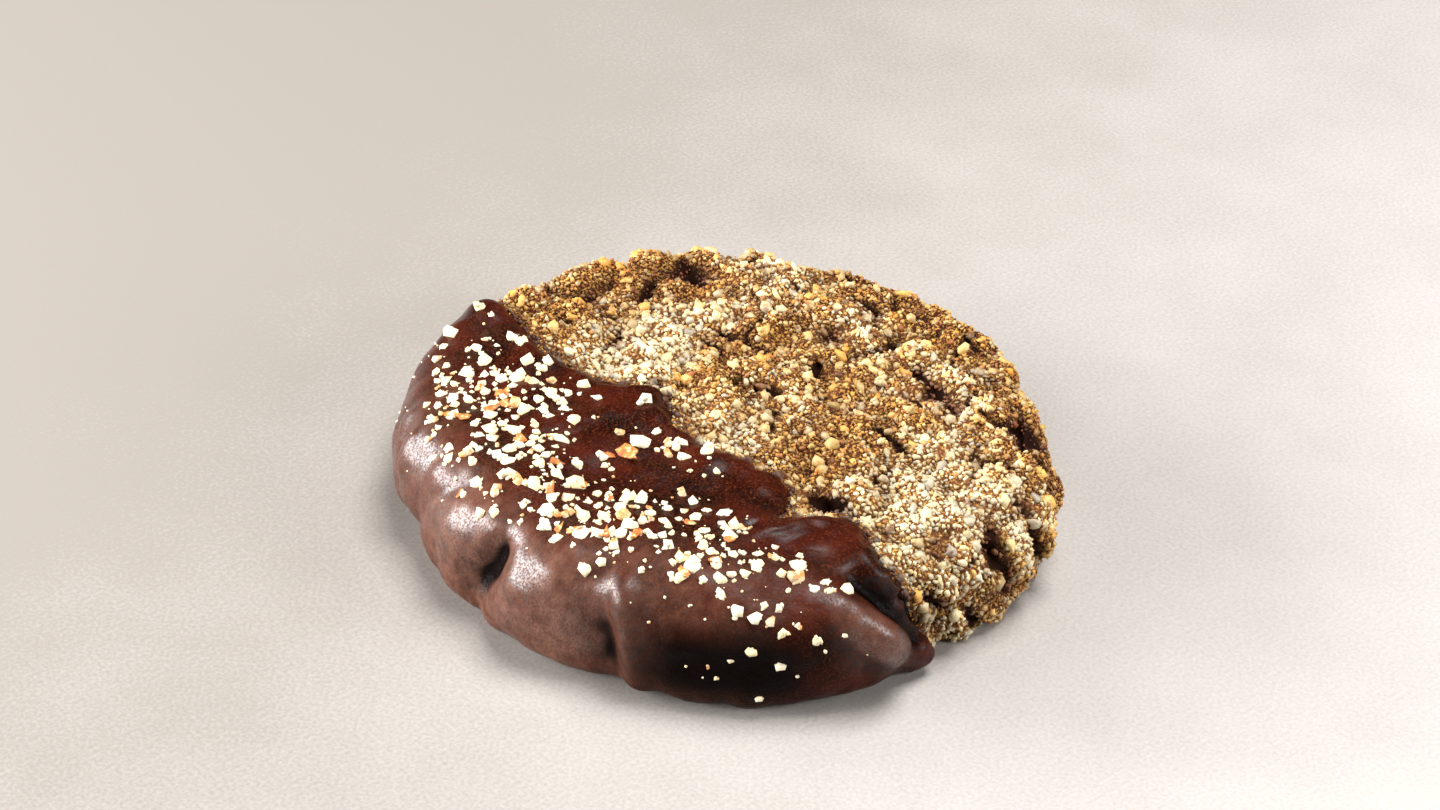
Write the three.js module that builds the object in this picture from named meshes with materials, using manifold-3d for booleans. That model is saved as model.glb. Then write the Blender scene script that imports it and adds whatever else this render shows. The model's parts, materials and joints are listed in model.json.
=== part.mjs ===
// A round nut cookie, dipped on one side in chocolate and strewn there with chopped nuts.
// Millimetres, +Z up, the middle of the flat base at the origin.
// The dipped side lies towards -X, the bare craggy biscuit towards +X.
import * as THREE from "three";
import { mergeVertices } from "three/addons/utils/BufferGeometryUtils.js";
import Module from "manifold-3d";

// Driving dimensions of the biscuit
const RADIUS = 39.3;
const THICKNESS = 15.2;
const WIDEST = 6.4; // height at which the wall is widest
const SHOULDER = 6.2; // how far in from the rim the top begins to round over
const SHOULDER_EASE = 1.4; // more of that at the dipped end, less at the bare end
const TUCK = 3; // how far the wall draws in down to the base
const EDGE_POWER = 2.3; // roundness of shoulder and foot, 2 being an ellipse
const SWELL = 0.5; // slow rise and fall of the top
const SWELL_LENGTHS = [26, 11]; // from one rise to the next, of the slow and the quicker swell
const BARE_RISE = 0.5; // how much thicker the bare end is, and the dipped end thinner
const CRAG = 0.9; // height of the crags of ground nut
const CRAG_LENGTHS = [11, 7.5, 5]; // spacing of the coarse, middle and fine lumps
const CRAG_START = 1; // bare strip left smooth beside the chocolate
const CRAG_FADE = 1.5; // width over which the crags then come up
const BASE_EDGE = 2; // height over which the crags come up from the flat base

// Driving dimensions of the chocolate
const COAT = 1.3;
const GAP = 0.4; // clearance between chocolate and biscuit
const LIP = 1.8; // width over which the edge of the chocolate rounds up
const LIP_EDGE = 0.05; // how far the very edge stands proud of that clearance
const BEAD = 0.35; // extra thickness where the chocolate gathered behind its edge
const BEAD_AT = 2.6;
const LEVEL = 0.1; // what the floor takes off the chocolate under the base
const DIP_LINE = -8.2; // where the edge of the chocolate crosses the top
const DIP_LEAN = 0.45; // how far that edge runs to +X for each mm down the wall

// The middle of the cookie's plan, taken to the origin
const MIDDLE = new THREE.Vector3(-0.2, 0.3, 0);

// Fineness of the two solids, how near a corner is drawn onto the edge of the chocolate,
// and fineness of one chopped nut
const DETAIL = 14;
const SNAP = 1;
const SNAP_STEPS = 4;
const NUT_DETAIL = 0;

// Lobes along the edge of the chocolate: y, reach in x, half width
const DIP_LOBES = [
  [22, -2.8, 7],
  [8, 2.8, 3],
  [-2, -0.6, 3],
  [-13, 1.8, 4],
  [-20.6, -5, 1.5],
  [-26, 3, 5],
];

// Press marks in the round outline: angle, reach, half width, in degrees and mm
const PRESS_MARKS = [
  [124, 0.8, 20],
  [170, -1.2, 15],
  [236, 0.8, 16],
  [268, -1.6, 9],
  [306, 1.3, 9],
  [330, -0.4, 9],
];

// Folds down the wall of the chocolate: angle at the top, turn per mm down, reach, half width
const FOLDS = [
  [184.5, -0.47, -0.8, 3.2],
  [175, -0.4, 0.6, 4],
  [192, -0.2, 0.6, 4],
  [201.5, 0.6, -0.8, 4.5],
  [208.5, 0.35, 1.2, 1.4],
  [245, 1.7, 1, 4],
  [252, 1.4, -1.5, 2.6],
  [168, -1.2, -1, 3],
];

// Short hollows and bulges of the dipped wall: where each begins and ends, half width, reach
const WALL_MARKS = [
  [[-11.8, -34.8, 14.6], [-8.8, -37.4, 12], 1.3, -2.2],
  [[-8.8, -37.4, 12], [-5.2, -38.4, 6], 1.4, -2.2],
  [[-15.4, -36.6, 13.4], [-9.8, -40, 7.5], 2.2, 1.5],
  [[-37, -1.4, 10.5], [-37.2, 0.3, 6], 2.1, -1.6],
  [[-35, -17.2, 8.5], [-34.8, -17.8, 5], 2.3, -1],
  [[-37.6, -0.4, 14], [-37.6, -0.2, 13], 1.6, 0.8],
  [[-37.4, 0.4, 3], [-36.5, 0.4, 0.5], 2.2, 0.9],
  [[-38.6, -7, 11], [-37.6, -12, 11], 3, 0.5],
];

// Holes between the crags: x, y, z, half width, depth
const HOLES = [
  [16.3, 26.3, 14.5, 2.2, 2.2],
  [23.1, -12, 15, 1.5, 1.8],
  [21.5, -15.6, 15, 1.5, 1.8],
  [24.7, -26.6, 13.5, 2, 2],
  [-4.6, -21.7, 15, 1.5, 1.4],
  [20.7, 5.7, 15, 1.6, 1.5],
  [8.2, -38.3, 12.4, 1.4, 1.1],
  [11, -38, 7.3, 1.4, 1],
  [2, 30, 15, 2, 1.4],
  [33, 14, 12, 2.2, 1.8],
];

// Patches of chopped nuts on top: x, y, spread in x, spread in y, number
const NUT_PATCHES = [
  [-24, 20, 4, 5.5, 58],
  [-29, 7, 4, 4, 32],
  [-28, -9, 3.6, 6, 58],
  [-24, -25, 3, 3, 18],
  [-20, -31, 3, 3.5, 9],
  [-12, -4, 2, 2.2, 8],
  [-14, 20, 1.5, 6, 6],
  [-18, -16, 2, 3, 4],
  [-34, 5, 2, 5, 5],
  [-17, -19, 0.1, 0.1, 1],
  [-13.7, -34.4, 0.1, 0.1, 1],
  [-20, 32, 0.1, 0.1, 1],
];
const NUT_SIZES = [1.25, 0.7]; // half width of the first and of the last nut of a patch
const NUT_SINK = 0.25; // share of its half width that a nut sits below the surface
const NUT_CLEAR = 2.4; // least distance from a nut to the edge of the chocolate
const NUT_RIM = 37.6; // how far out a nut lies on top
const NUT_SPACING = 0.75; // least distance between two nuts, as a share of their half widths
const NUT_LUMPS = 0.28; // unevenness of a nut
const NUT_SLENDER = [0.7, 1]; // a nut's width as a share of its length
const NUT_FLAT = 0.75; // its height as a share of its length
const NUT_TIP = 0.4; // the most that it tips, in radians
const SEED = 20261;

// Nuts that ran down the wall: angle, height, half width
const WALL_NUTS = [
  [228.5, 13.9, 1],
  [231.5, 13.4, 0.8],
  [234, 13, 1],
  [236, 11.8, 0.8],
  [231, 9.3, 0.9],
  [236, 7.3, 0.9],
  [233, 3, 0.8],
  [241.5, 10.8, 0.8],
];

const DEGREE = Math.PI / 180;
const GOLDEN = 2.399963;
const WAVE_COUNT = 6;

// Polar angles at which top, shoulder, foot and base of the form meet
const TOP_END = 74.5 * DEGREE;
const SHOULDER_END = 106 * DEGREE;
const FOOT_END = 134 * DEGREE;

const wasm = await Module();
wasm.setup();

function smoothstep(low, high, value) {
  const t = Math.min(Math.max((value - low) / (high - low), 0), 1);
  return t * t * (3 - 2 * t);
}

function bell(distance, width) {
  return Math.exp(-0.5 * (distance / width) ** 2);
}

function turn(from, to) {
  return ((((to - from) % 360) + 540) % 360) - 180;
}

// The same series of even draws between 0 and 1 for the same seed
function draws(seed) {
  let state = seed;
  return () => {
    state = (1664525 * state + 1013904223) % 4294967296;
    return state / 4294967296;
  };
}

// Waves in spread-out directions, summed to between about -1 and 1
function waves(point, length) {
  let sum = 0;
  for (let k = 0; k < WAVE_COUNT; k += 1) {
    const height = 1 - (2 * k + 1) / WAVE_COUNT;
    const flat = Math.sqrt(1 - height * height);
    const along = point.x * flat * Math.cos(GOLDEN * k)
      + point.y * flat * Math.sin(GOLDEN * k)
      + point.z * height;
    sum += Math.sin((2 * Math.PI * along) / length + GOLDEN * k * k);
  }
  return sum / Math.sqrt(WAVE_COUNT);
}

// Lumps with creases between them, from about -1 to 1
function crags(point) {
  const [coarse, middle, fine] = CRAG_LENGTHS.map((length) => waves(point, length));
  return Math.tanh(Math.abs(coarse) + 0.8 * Math.abs(middle) + 0.3 * fine - 1.2);
}

// Distance inside the edge of the chocolate, below zero on the bare biscuit
function dipDepth(point) {
  let edge = DIP_LINE + DIP_LEAN * Math.max(THICKNESS - point.z, 0);
  let slope = 0;
  for (const [y, reach, width] of DIP_LOBES) {
    const lobe = reach * bell(point.y - y, width);
    edge += lobe;
    slope -= (lobe * (point.y - y)) / width ** 2;
  }
  return (edge - point.x) / Math.hypot(1, slope);
}

function outlineRadius(angle) {
  let radius = RADIUS;
  for (const [at, reach, width] of PRESS_MARKS) {
    radius += reach * bell(turn(at, angle), width);
  }
  return radius;
}

function foldReach(angle, height) {
  const down = THICKNESS - height;
  let sum = 0;
  for (const [at, lean, reach, width] of FOLDS) {
    sum += reach * bell(turn(at + lean * down, angle), width);
  }
  return sum;
}

// Reach of the hollows and bulges of the dipped wall at a point
function markReach(point) {
  let sum = 0;
  for (const [from, to, width, reach] of WALL_MARKS) {
    const line = new THREE.Line3(new THREE.Vector3(...from), new THREE.Vector3(...to));
    const nearest = line.closestPointToPoint(point, true, new THREE.Vector3());
    sum += reach * bell(nearest.distanceTo(point), width);
  }
  return sum;
}

// A point of the smooth cookie for a direction on the unit sphere
function formPoint(direction) {
  const angle = Math.atan2(direction.y, direction.x);
  const degrees = angle / DEGREE;
  const polar = Math.acos(THREE.MathUtils.clamp(direction.z, -1, 1));
  const rim = outlineRadius(degrees);
  const shoulder = SHOULDER - SHOULDER_EASE * Math.cos(angle);
  const flat = rim - shoulder;
  const foot = rim - TUCK;
  const power = 2 / EDGE_POWER;
  let radius;
  let height;
  let onWall = 0;
  if (polar < TOP_END) {
    radius = flat * Math.sin(polar / 2) / Math.sin(TOP_END / 2);
    height = THICKNESS;
  } else if (polar < SHOULDER_END) {
    const t = (polar - TOP_END) / (SHOULDER_END - TOP_END) * Math.PI / 2;
    radius = flat + shoulder * Math.sin(t) ** power;
    height = WIDEST + (THICKNESS - WIDEST) * Math.cos(t) ** power;
    onWall = Math.sin(t);
  } else if (polar < FOOT_END) {
    const t = (polar - SHOULDER_END) / (FOOT_END - SHOULDER_END) * Math.PI / 2;
    radius = foot + TUCK * Math.cos(t) ** power;
    height = WIDEST * (1 - Math.sin(t) ** power);
    onWall = 1;
  } else {
    radius = foot * Math.sin((Math.PI - polar) / 2) / Math.sin((Math.PI - FOOT_END) / 2);
    height = 0;
    onWall = radius / foot;
  }
  radius += foldReach(degrees, height) * onWall;
  const point = new THREE.Vector3(radius * Math.cos(angle), radius * Math.sin(angle), 0);
  const rise = smoothstep(WIDEST, THICKNESS, height);
  const [slow, quick] = SWELL_LENGTHS.map((length) => waves(point, length));
  height += rise * (SWELL * (slow + 0.4 * quick) + BARE_RISE * point.x / RADIUS);
  // The dipped side of the base is raised, so that the chocolate under it ends at the floor
  const raised = (COAT - LEVEL) * smoothstep(0, 2 * LIP, dipDepth(point.setZ(0)));
  const sunk = Math.max(WIDEST - height, 0) / WIDEST;
  return point.setZ(height + raised * sunk);
}

function pointAt(attribute, index) {
  return new THREE.Vector3().fromBufferAttribute(attribute, index);
}

// Draws a direction whose point lies close beside the edge of the chocolate onto that edge
function snapToEdge(direction) {
  if (Math.abs(dipDepth(formPoint(direction))) > SNAP) {
    return direction;
  }
  for (let step = 0; step < SNAP_STEPS; step += 1) {
    const point = formPoint(direction);
    const scale = Math.hypot(direction.x, direction.y) / Math.hypot(point.x, point.y);
    direction.x += dipDepth(point) * scale;
    direction.normalize();
  }
  return direction;
}

// The cookie with the marks of its wall, each point moved out along its normal by reach(point) too
function cookieForm(reach) {
  const sphere = new THREE.IcosahedronGeometry(1, DETAIL);
  sphere.deleteAttribute("normal");
  sphere.deleteAttribute("uv");
  const geometry = mergeVertices(sphere, 1e-5);
  const position = geometry.attributes.position;
  for (let i = 0; i < position.count; i += 1) {
    const point = formPoint(snapToEdge(pointAt(position, i).normalize()));
    position.setXYZ(i, point.x, point.y, point.z);
  }
  geometry.computeVertexNormals();
  const normal = geometry.attributes.normal;
  for (let i = 0; i < position.count; i += 1) {
    const point = pointAt(position, i);
    const out = markReach(point) + reach(point);
    const moved = point.clone().addScaledVector(pointAt(normal, i), out);
    position.setXYZ(i, moved.x, moved.y, moved.z);
  }
  return geometry;
}

function levelBase(geometry) {
  const position = geometry.attributes.position;
  for (let i = 0; i < position.count; i += 1) {
    position.setZ(i, Math.max(position.getZ(i), 0));
  }
  return geometry;
}

// Crags and holes of the bare biscuit; the base and what lies under the chocolate stay smooth
function biscuitRelief(point) {
  const beside = smoothstep(CRAG_START, CRAG_START + CRAG_FADE, -dipDepth(point));
  const bare = beside * smoothstep(0, BASE_EDGE, point.z);
  let relief = CRAG * crags(point);
  for (const [x, y, z, width, depth] of HOLES) {
    relief -= depth * bell(point.distanceTo(new THREE.Vector3(x, y, z)), width);
  }
  return bare * relief;
}

// Thickness of the chocolate: it rounds up from its edge to a bead and then lies even
function coatThickness(point) {
  const depth = dipDepth(point);
  if (depth < -SNAP / 2) {
    return -GAP;
  }
  const lip = 1 - THREE.MathUtils.clamp(depth / LIP, 0, 1);
  const edge = GAP + LIP_EDGE;
  const bead = BEAD * bell(depth - BEAD_AT, LIP / 2);
  return edge + (COAT - edge) * Math.sqrt(1 - lip * lip) + bead;
}

function toSolid(geometry) {
  return new wasm.Manifold(new wasm.Mesh({
    numProp: 3,
    vertProperties: new Float32Array(geometry.attributes.position.array),
    triVerts: new Uint32Array(geometry.index.array),
  }));
}

function toGeometry(solid) {
  const mesh = solid.getMesh();
  const geometry = new THREE.BufferGeometry();
  geometry.setAttribute("position", new THREE.BufferAttribute(mesh.vertProperties, 3));
  geometry.setIndex(new THREE.BufferAttribute(mesh.triVerts, 1));
  geometry.computeVertexNormals();
  return geometry;
}

function largestPiece(solid) {
  const pieces = solid.decompose();
  return pieces.reduce((best, piece) => (piece.volume() > best.volume() ? piece : best));
}

// A lumpy chopped nut of a given half width
function nutChunk(place, size, random) {
  const ball = new THREE.IcosahedronGeometry(1, NUT_DETAIL);
  ball.deleteAttribute("normal");
  ball.deleteAttribute("uv");
  const geometry = mergeVertices(ball, 1e-5);
  const position = geometry.attributes.position;
  for (let i = 0; i < position.count; i += 1) {
    const lump = pointAt(position, i).multiplyScalar(1 + NUT_LUMPS * (2 * random() - 1));
    position.setXYZ(i, lump.x, lump.y, lump.z);
  }
  geometry.scale(size, size * THREE.MathUtils.lerp(...NUT_SLENDER, random()), size * NUT_FLAT);
  geometry.rotateX(NUT_TIP * (2 * random() - 1));
  geometry.rotateZ(2 * Math.PI * random());
  geometry.translate(place.x, place.y, place.z);
  return toSolid(geometry);
}

// Where a line from a point meets the chocolate, sunk a little below its surface
function landing(coatMesh, from, towards, sink) {
  const hit = new THREE.Raycaster(from, towards).intersectObject(coatMesh)[0];
  const lies = hit && dipDepth(hit.point) > NUT_CLEAR;
  return lies ? hit.point.addScaledVector(towards, sink) : null;
}

// Even draws to a pair of draws spread as a bell round zero
function bellDraw(random) {
  const reach = Math.sqrt(-2 * Math.log(1 - random()));
  const angle = 2 * Math.PI * random();
  return [reach * Math.cos(angle), reach * Math.sin(angle)];
}

// Places and half widths of the chopped nuts, the largest of each patch first
function nutPlaces(coatMesh, random) {
  const down = new THREE.Vector3(0, 0, -1);
  const nuts = [];
  const add = (from, towards, size) => {
    const place = landing(coatMesh, from, towards, size * NUT_SINK);
    const apart = (nut) => nut.place.distanceTo(place) > NUT_SPACING * (nut.size + size);
    if (place && nuts.every(apart)) {
      nuts.push({ place, size });
    }
  };
  for (const [x, y, spreadX, spreadY, count] of NUT_PATCHES) {
    for (let i = 0; i < count; i += 1) {
      const [u, v] = bellDraw(random);
      const from = new THREE.Vector3(x + u * spreadX, y + v * spreadY, 2 * THICKNESS);
      if (Math.hypot(from.x, from.y) < NUT_RIM) {
        add(from, down, THREE.MathUtils.lerp(...NUT_SIZES, i / count));
      }
    }
  }
  for (const [degrees, height, size] of WALL_NUTS) {
    const out = new THREE.Vector3(Math.cos(degrees * DEGREE), Math.sin(degrees * DEGREE), 0);
    const from = out.clone().multiplyScalar(2 * RADIUS).setZ(height);
    add(from, out.negate(), size);
  }
  return nuts;
}

function chocolateCoat() {
  const outside = levelBase(cookieForm(coatThickness));
  const inside = cookieForm(() => GAP);
  const random = draws(SEED);
  const landingMesh = new THREE.Mesh(outside, new THREE.MeshBasicMaterial());
  const nuts = nutPlaces(landingMesh, random);
  const chunks = nuts.map(({ place, size }) => nutChunk(place, size, random));
  const strewn = chunks.reduce((coat, chunk) => coat.add(chunk), toSolid(outside));
  return toGeometry(largestPiece(strewn.subtract(toSolid(inside))));
}

function piece(name, geometry, colour, roughness) {
  geometry.translate(-MIDDLE.x, -MIDDLE.y, -MIDDLE.z);
  const material = new THREE.MeshStandardMaterial({ color: colour, roughness, metalness: 0 });
  material.name = name;
  const mesh = new THREE.Mesh(geometry, material);
  mesh.name = name;
  return mesh;
}

const biscuit = levelBase(cookieForm(biscuitRelief));
const cookie = new THREE.Group();
cookie.name = "dipped_nut_cookie";
cookie.add(piece("biscuit", biscuit, 0xb07a3c, 0.85));
cookie.add(piece("chocolate_coat", chocolateCoat(), 0x3c1c12, 0.4));

export default cookie;
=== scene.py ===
"""Looks of a round nut cookie, dipped on one side in chocolate and strewn there with chopped nuts."""

import json
import math

import bmesh
import bpy
import numpy as np
from bpy.props import FloatProperty, FloatVectorProperty, IntProperty, PointerProperty
from mathutils import Matrix, Vector, noise
from mathutils.bvhtree import BVHTree

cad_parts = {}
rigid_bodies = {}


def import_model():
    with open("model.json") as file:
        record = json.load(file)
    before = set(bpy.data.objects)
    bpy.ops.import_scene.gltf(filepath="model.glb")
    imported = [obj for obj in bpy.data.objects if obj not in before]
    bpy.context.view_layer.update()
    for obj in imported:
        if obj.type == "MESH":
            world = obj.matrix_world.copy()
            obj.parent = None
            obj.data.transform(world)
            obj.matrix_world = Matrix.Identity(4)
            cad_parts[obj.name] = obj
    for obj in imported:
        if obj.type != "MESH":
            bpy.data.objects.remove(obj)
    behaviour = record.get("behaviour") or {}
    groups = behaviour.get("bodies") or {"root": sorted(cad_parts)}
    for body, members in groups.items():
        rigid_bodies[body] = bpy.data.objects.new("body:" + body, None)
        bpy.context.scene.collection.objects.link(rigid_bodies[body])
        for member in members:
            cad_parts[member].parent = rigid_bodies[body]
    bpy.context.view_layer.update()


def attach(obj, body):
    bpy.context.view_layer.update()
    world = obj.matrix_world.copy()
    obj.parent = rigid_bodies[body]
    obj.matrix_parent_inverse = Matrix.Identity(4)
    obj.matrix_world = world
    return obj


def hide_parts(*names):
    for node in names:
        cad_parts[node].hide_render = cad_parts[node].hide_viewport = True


bl_info = {
    "name": "Dipped Nut Cookie",
    "version": (1, 0, 0),
    "blender": (4, 5, 0),
    "location": "3D View > Sidebar > Cookie",
    "description": "Builds a chocolate-dipped nut cookie around its packed solids",
    "category": "Object",
}

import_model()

MM = 0.001
GOLDEN = 2.399963
WAVE_COUNT = 6

# Polar angles, in degrees, at which top, shoulder, foot and base of the form meet
TOP_END, SHOULDER_END, FOOT_END = 74.5, 106.0, 134.0

# The middle of the cookie's plan, taken to the origin, in mm
MIDDLE = (-0.2, 0.3, 0.0)

# Lobes along the edge of the chocolate: y, reach in x, half width, in mm
DIP_LOBES = (
    (22, -2.8, 7),
    (8, 2.8, 3),
    (-2, -0.6, 3),
    (-13, 1.8, 4),
    (-20.6, -5, 1.5),
    (-26, 3, 5),
)

# Press marks in the round outline: angle in degrees, reach in mm, half width in degrees
PRESS_MARKS = (
    (124, 0.8, 20),
    (170, -1.2, 15),
    (236, 0.8, 16),
    (268, -1.6, 9),
    (306, 1.3, 9),
    (330, -0.4, 9),
)

# Folds down the wall: angle at the top and turn per mm down in degrees, reach in mm, half width in degrees
FOLDS = (
    (184.5, -0.47, -0.8, 3.2),
    (175, -0.4, 0.6, 4),
    (192, -0.2, 0.6, 4),
    (201.5, 0.6, -0.8, 4.5),
    (208.5, 0.35, 1.2, 1.4),
    (245, 1.7, 1, 4),
    (252, 1.4, -1.5, 2.6),
    (168, -1.2, -1, 3),
)

# Holes between the crags: x, y, z, half width, depth, in mm
HOLES = (
    (16.3, 26.3, 14.5, 1.6, 1.8),
    (23.1, -12, 15, 1.2, 1.6),
    (21.5, -15.6, 15, 1.2, 1.5),
    (24.7, -26.6, 13.5, 2, 2),
    (-4.6, -21.7, 15, 1.5, 1.4),
    (20.7, 5.7, 15, 1.3, 1.2),
    (8.2, -38.3, 12.4, 1.4, 1.1),
    (11, -38, 7.3, 1.4, 1),
    (2, 30, 15, 1.6, 0.8),
    (33, 14, 12, 2.2, 1.8),
)

# Cracks in the crumb, along a line: its two ends, half width, reach outwards, in mm
CRACKS = (
    ((24.4, -7.2, 14.8), (22.6, -14, 14.2), 0.6, -1.7),
    ((5.9, 1.7, 15.6), (7, -0.5, 15.3), 0.5, -1.3),
    ((15.9, 1.7, 15.1), (13.7, 0, 14.6), 0.45, -1.3),
    ((11.4, -13.6, 15.1), (10.6, -18.5, 15.4), 0.5, -1.3),
    ((18, 29.6, 14.5), (15.9, 23.8, 14.7), 0.7, -1.3),
    ((-4.2, -19.1, 14.2), (-2.8, -22, 14.3), 0.8, -1.6),
    ((22, -30.6, 15.6), (23.1, -31.7, 11.3), 0.6, -1.4),
    ((9, -35.4, 13.4), (8.4, -36.9, 9.8), 0.7, -1.7),
    ((9.6, -37, 9.3), (11.4, -36.8, 5.1), 0.6, -1.7),
    ((16.3, -35.8, 10.3), (18.7, -35.4, 5.6), 0.6, -1.5),
    ((15, -33.4, 14), (16, -34.4, 12.6), 0.6, -1.3),
    ((3.9, -37.9, 5.4), (6.6, -37, 1.7), 0.6, -1.3),
    ((25.2, -24.2, 15.1), (24.8, -27.3, 14.4), 0.9, -1.7),
    ((10.3, 13.8, 15.3), (10.8, 11.6, 15.3), 0.4, -1.1),
    ((29.7, 8.6, 15.2), (29.5, 5.1, 15.3), 0.5, -1.2),
    ((33.6, -5.4, 16.5), (33.4, -8.4, 15.9), 0.5, -1.2),
    ((-2.4, -37.3, 9.7), (0, -37.7, 7.4), 0.5, -1.1),
)

# Marks in the chocolate, along a line: its two ends, half width, reach outwards, in mm
COAT_MARKS = (
    ((-11.8, -34.8, 14.6), (-8.8, -37.4, 12), 1.3, -2.2),
    ((-8.8, -37.4, 12), (-5.2, -38.4, 6), 1.4, -2.2),
    ((-37, -1.4, 10.5), (-37.2, 0.3, 6), 2.1, -1.6),
    ((-15.4, -36.6, 13.4), (-9.8, -40, 7.5), 2.2, 1.5),
    ((-33.6, -19.2, 13.6), (-33.7, -19.8, 12.6), 0.7, 0.5),
    ((-35, -17.2, 8.5), (-34.8, -17.8, 5), 2.3, -1.0),
    ((-38.6, -7, 11), (-37.6, -12, 11), 3, 0.5),
    ((-37.6, -0.4, 14), (-37.6, -0.2, 13), 1.6, 0.8),
    ((-37.4, 0.4, 3), (-36.5, 0.4, 0.5), 2.2, 0.9),
    ((-36.4, 12.6, 12.6), (-37.4, 13.8, 7.5), 0.8, 0.7),
    ((-37.3, 11, 12.4), (-38.3, 11.6, 8.5), 0.7, -0.6),
    ((-37.5, 9, 10.4), (-38.2, 5, 10.8), 2.4, 0.4),
    ((-31.8, 23.4, 12.6), (-33.6, 22.8, 8), 0.8, -0.6),
    ((-33.4, 20.4, 12.8), (-35, 20, 7), 1.3, 0.5),
    ((-30, 27, 11.5), (-31.4, 26.4, 6), 1.2, 0.4),
    ((-27, -28, 12), (-20, -34, 12), 2.5, 0.35),
    ((-30, -27, 7), (-24, -33, 7.5), 2, -0.5),
    ((-12, -18.6, 16), (-9.5, -17, 16), 1, -0.6),
    ((-14, 2, 16), (-16, -9, 16), 3, -0.35),
)

# Patches of paler crumb (above zero) and of browner crumb (below): x, y, half widths in mm, strength
CRUMB_ZONES = (
    (-2, 15, 8, 4, 0.9),
    (-4, -4, 5, 4, 0.8),
    (3, -33, 9, 4, 0.8),
    (10, -22, 10, 4, 0.5),
    (24, -10, 4, 5, 0.6),
    (27, 2, 5, 4, 0.4),
    (0, 22, 5, 3, 0.3),
    (20, 17, 8, 3, 0.3),
    (0, 34, 10, 3, -0.5),
    (-5, 30, 4, 4, -0.6),
    (10, 29, 8, 4, -0.5),
    (16, 26, 3, 3, -0.6),
    (5, 9, 8, 2, -0.6),
    (18, 10, 6, 5, -0.4),
    (34, -3, 3, 9, -0.8),
    (8, -12, 11, 4, -0.7),
    (17, -3, 6, 3, -0.4),
    (25, -27, 5, 4, -0.8),
    (31, 12, 5, 6, -0.3),
    (27, -20, 5, 4, -0.3),
)

# Patches of chopped nuts on top: x, y, spread in x, spread in y, in mm, number
NUT_PATCHES = (
    (-24, 20, 4, 5.5, 58),
    (-29, 7, 4, 4, 32),
    (-28, -9, 3.6, 6, 58),
    (-24, -25, 3, 3, 18),
    (-20, -31, 3, 3.5, 9),
    (-12, -4, 2, 2.2, 8),
    (-14, 20, 1.5, 6, 6),
    (-18, -16, 2, 3, 4),
    (-34, 5, 2, 5, 5),
    (-17, -19, 0.1, 0.1, 1),
    (-13.7, -34.4, 0.1, 0.1, 1),
    (-20, 32, 0.1, 0.1, 1),
)

# Nuts that ran down the wall: angle in degrees, height, half width, in mm
WALL_NUTS = (
    (228.5, 13.9, 1),
    (231.5, 13.4, 0.8),
    (234, 13, 1),
    (236, 11.8, 0.8),
    (231, 9.3, 0.9),
    (236, 7.3, 0.9),
    (233, 3, 0.8),
    (241.5, 10.8, 0.8),
)

# Small bits beside them, given in the same way
WALL_BITS = (
    (227, 14.4, 0.7),
    (230, 14.2, 0.6),
    (233, 14.4, 0.7),
    (235.5, 14, 0.6),
    (238.5, 12.6, 0.55),
    (243, 9.5, 0.4),
    (228, 8, 0.4),
    (226, 5.5, 0.35),
    (224.5, 7, 0.3),
    (239, 6, 0.35),
    (221, 6.5, 0.25),
    (246, 11.5, 0.35),
    (250, 8.5, 0.25),
)

# Single nuts that stand out, beside the edge of the chocolate: x, y, half width, in mm
EDGE_NUTS = (
    (-9.2, 5.8, 1.3),
    (-12.2, 33.6, 0.9),
    (-12.6, 13.2, 1.1),
    (-13.2, 19.6, 1.2),
    (-13.2, 24.6, 0.9),
    (-12.4, -5, 1.0),
    (-11, -3, 0.8),
    (-12.2, -2, 0.9),
    (-11.6, -9.8, 0.7),
)

# Places where the chocolate has more or less sheen: x, y, z and half width in mm, strength
SHEENS = (
    (-15.2, -18.8, 16.9, 2.6, 0.45),
    (-13.4, -27.8, 15.8, 3.5, 0.3),
    (-13.8, 29.6, 16.5, 2.8, 0.45),
    (-19.7, 2, 16.1, 2.2, 0.3),
    (-38.9, -11.3, 8, 5, 0.5),
    (-35.4, 19, 7.7, 6, 0.5),
    (-13.3, -39, 12.1, 3.5, 0.5),
    (-18.5, -37, 8.8, 4, -0.5),
)

# Least and most stretch of a ground grain and of a chopped nut, in each direction
GROUND, CHOPPED = (0.5, 1.25), (0.7, 1.15)

# Flakes of skin that stand out: x, y, half width, in mm
SKIN_FLAKES = (
    (-17.5, -0.6, 1.7),
    (-19.6, 0.6, 0.8),
    (-26, 2.5, 1),
    (-20.5, -21.5, 0.9),
)

# Slow waves, each as its share and its length in mm
TOP_SWELL = ((1.0, 26), (0.4, 11))
EDGE_WANDER = ((0.3, 4.3), (0.18, 2.1))
COAT_WAVES = ((0.12, 15), (0.08, 6), (0.035, 2.6))

# Lengths of other waves: crags, from coarse to fine, browning, winding cracks and where those lie, in mm
CRAG_LENGTHS = (11, 7.5, 5)
ZONE_LENGTH, CRACK_LENGTH, CRACK_PATCH_LENGTH = 17, 9, 13

# Shares of the middle and fine crags beside the coarse ones, and the level that lies at their mean
CRAG_MIDDLE, CRAG_FINE, CRAG_LEVEL = 0.8, 0.3, 1.2

# Width of a winding crack as a share of its waves, and how far its patches are set off, in mm
CRACK_WIDTH, CRACK_OFFSET = 0.13, 10

# Heights of the waves between which a patch of winding cracks comes up
CRACK_PATCHES = (0.15, 0.6)

# Mean share of pale crumb, what slow waves add to it, and what browning takes from it on the wall
ZONE_MEAN, ZONE_WAVES, ZONE_BROWNING = 0.5, 0.12, 0.4

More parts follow.
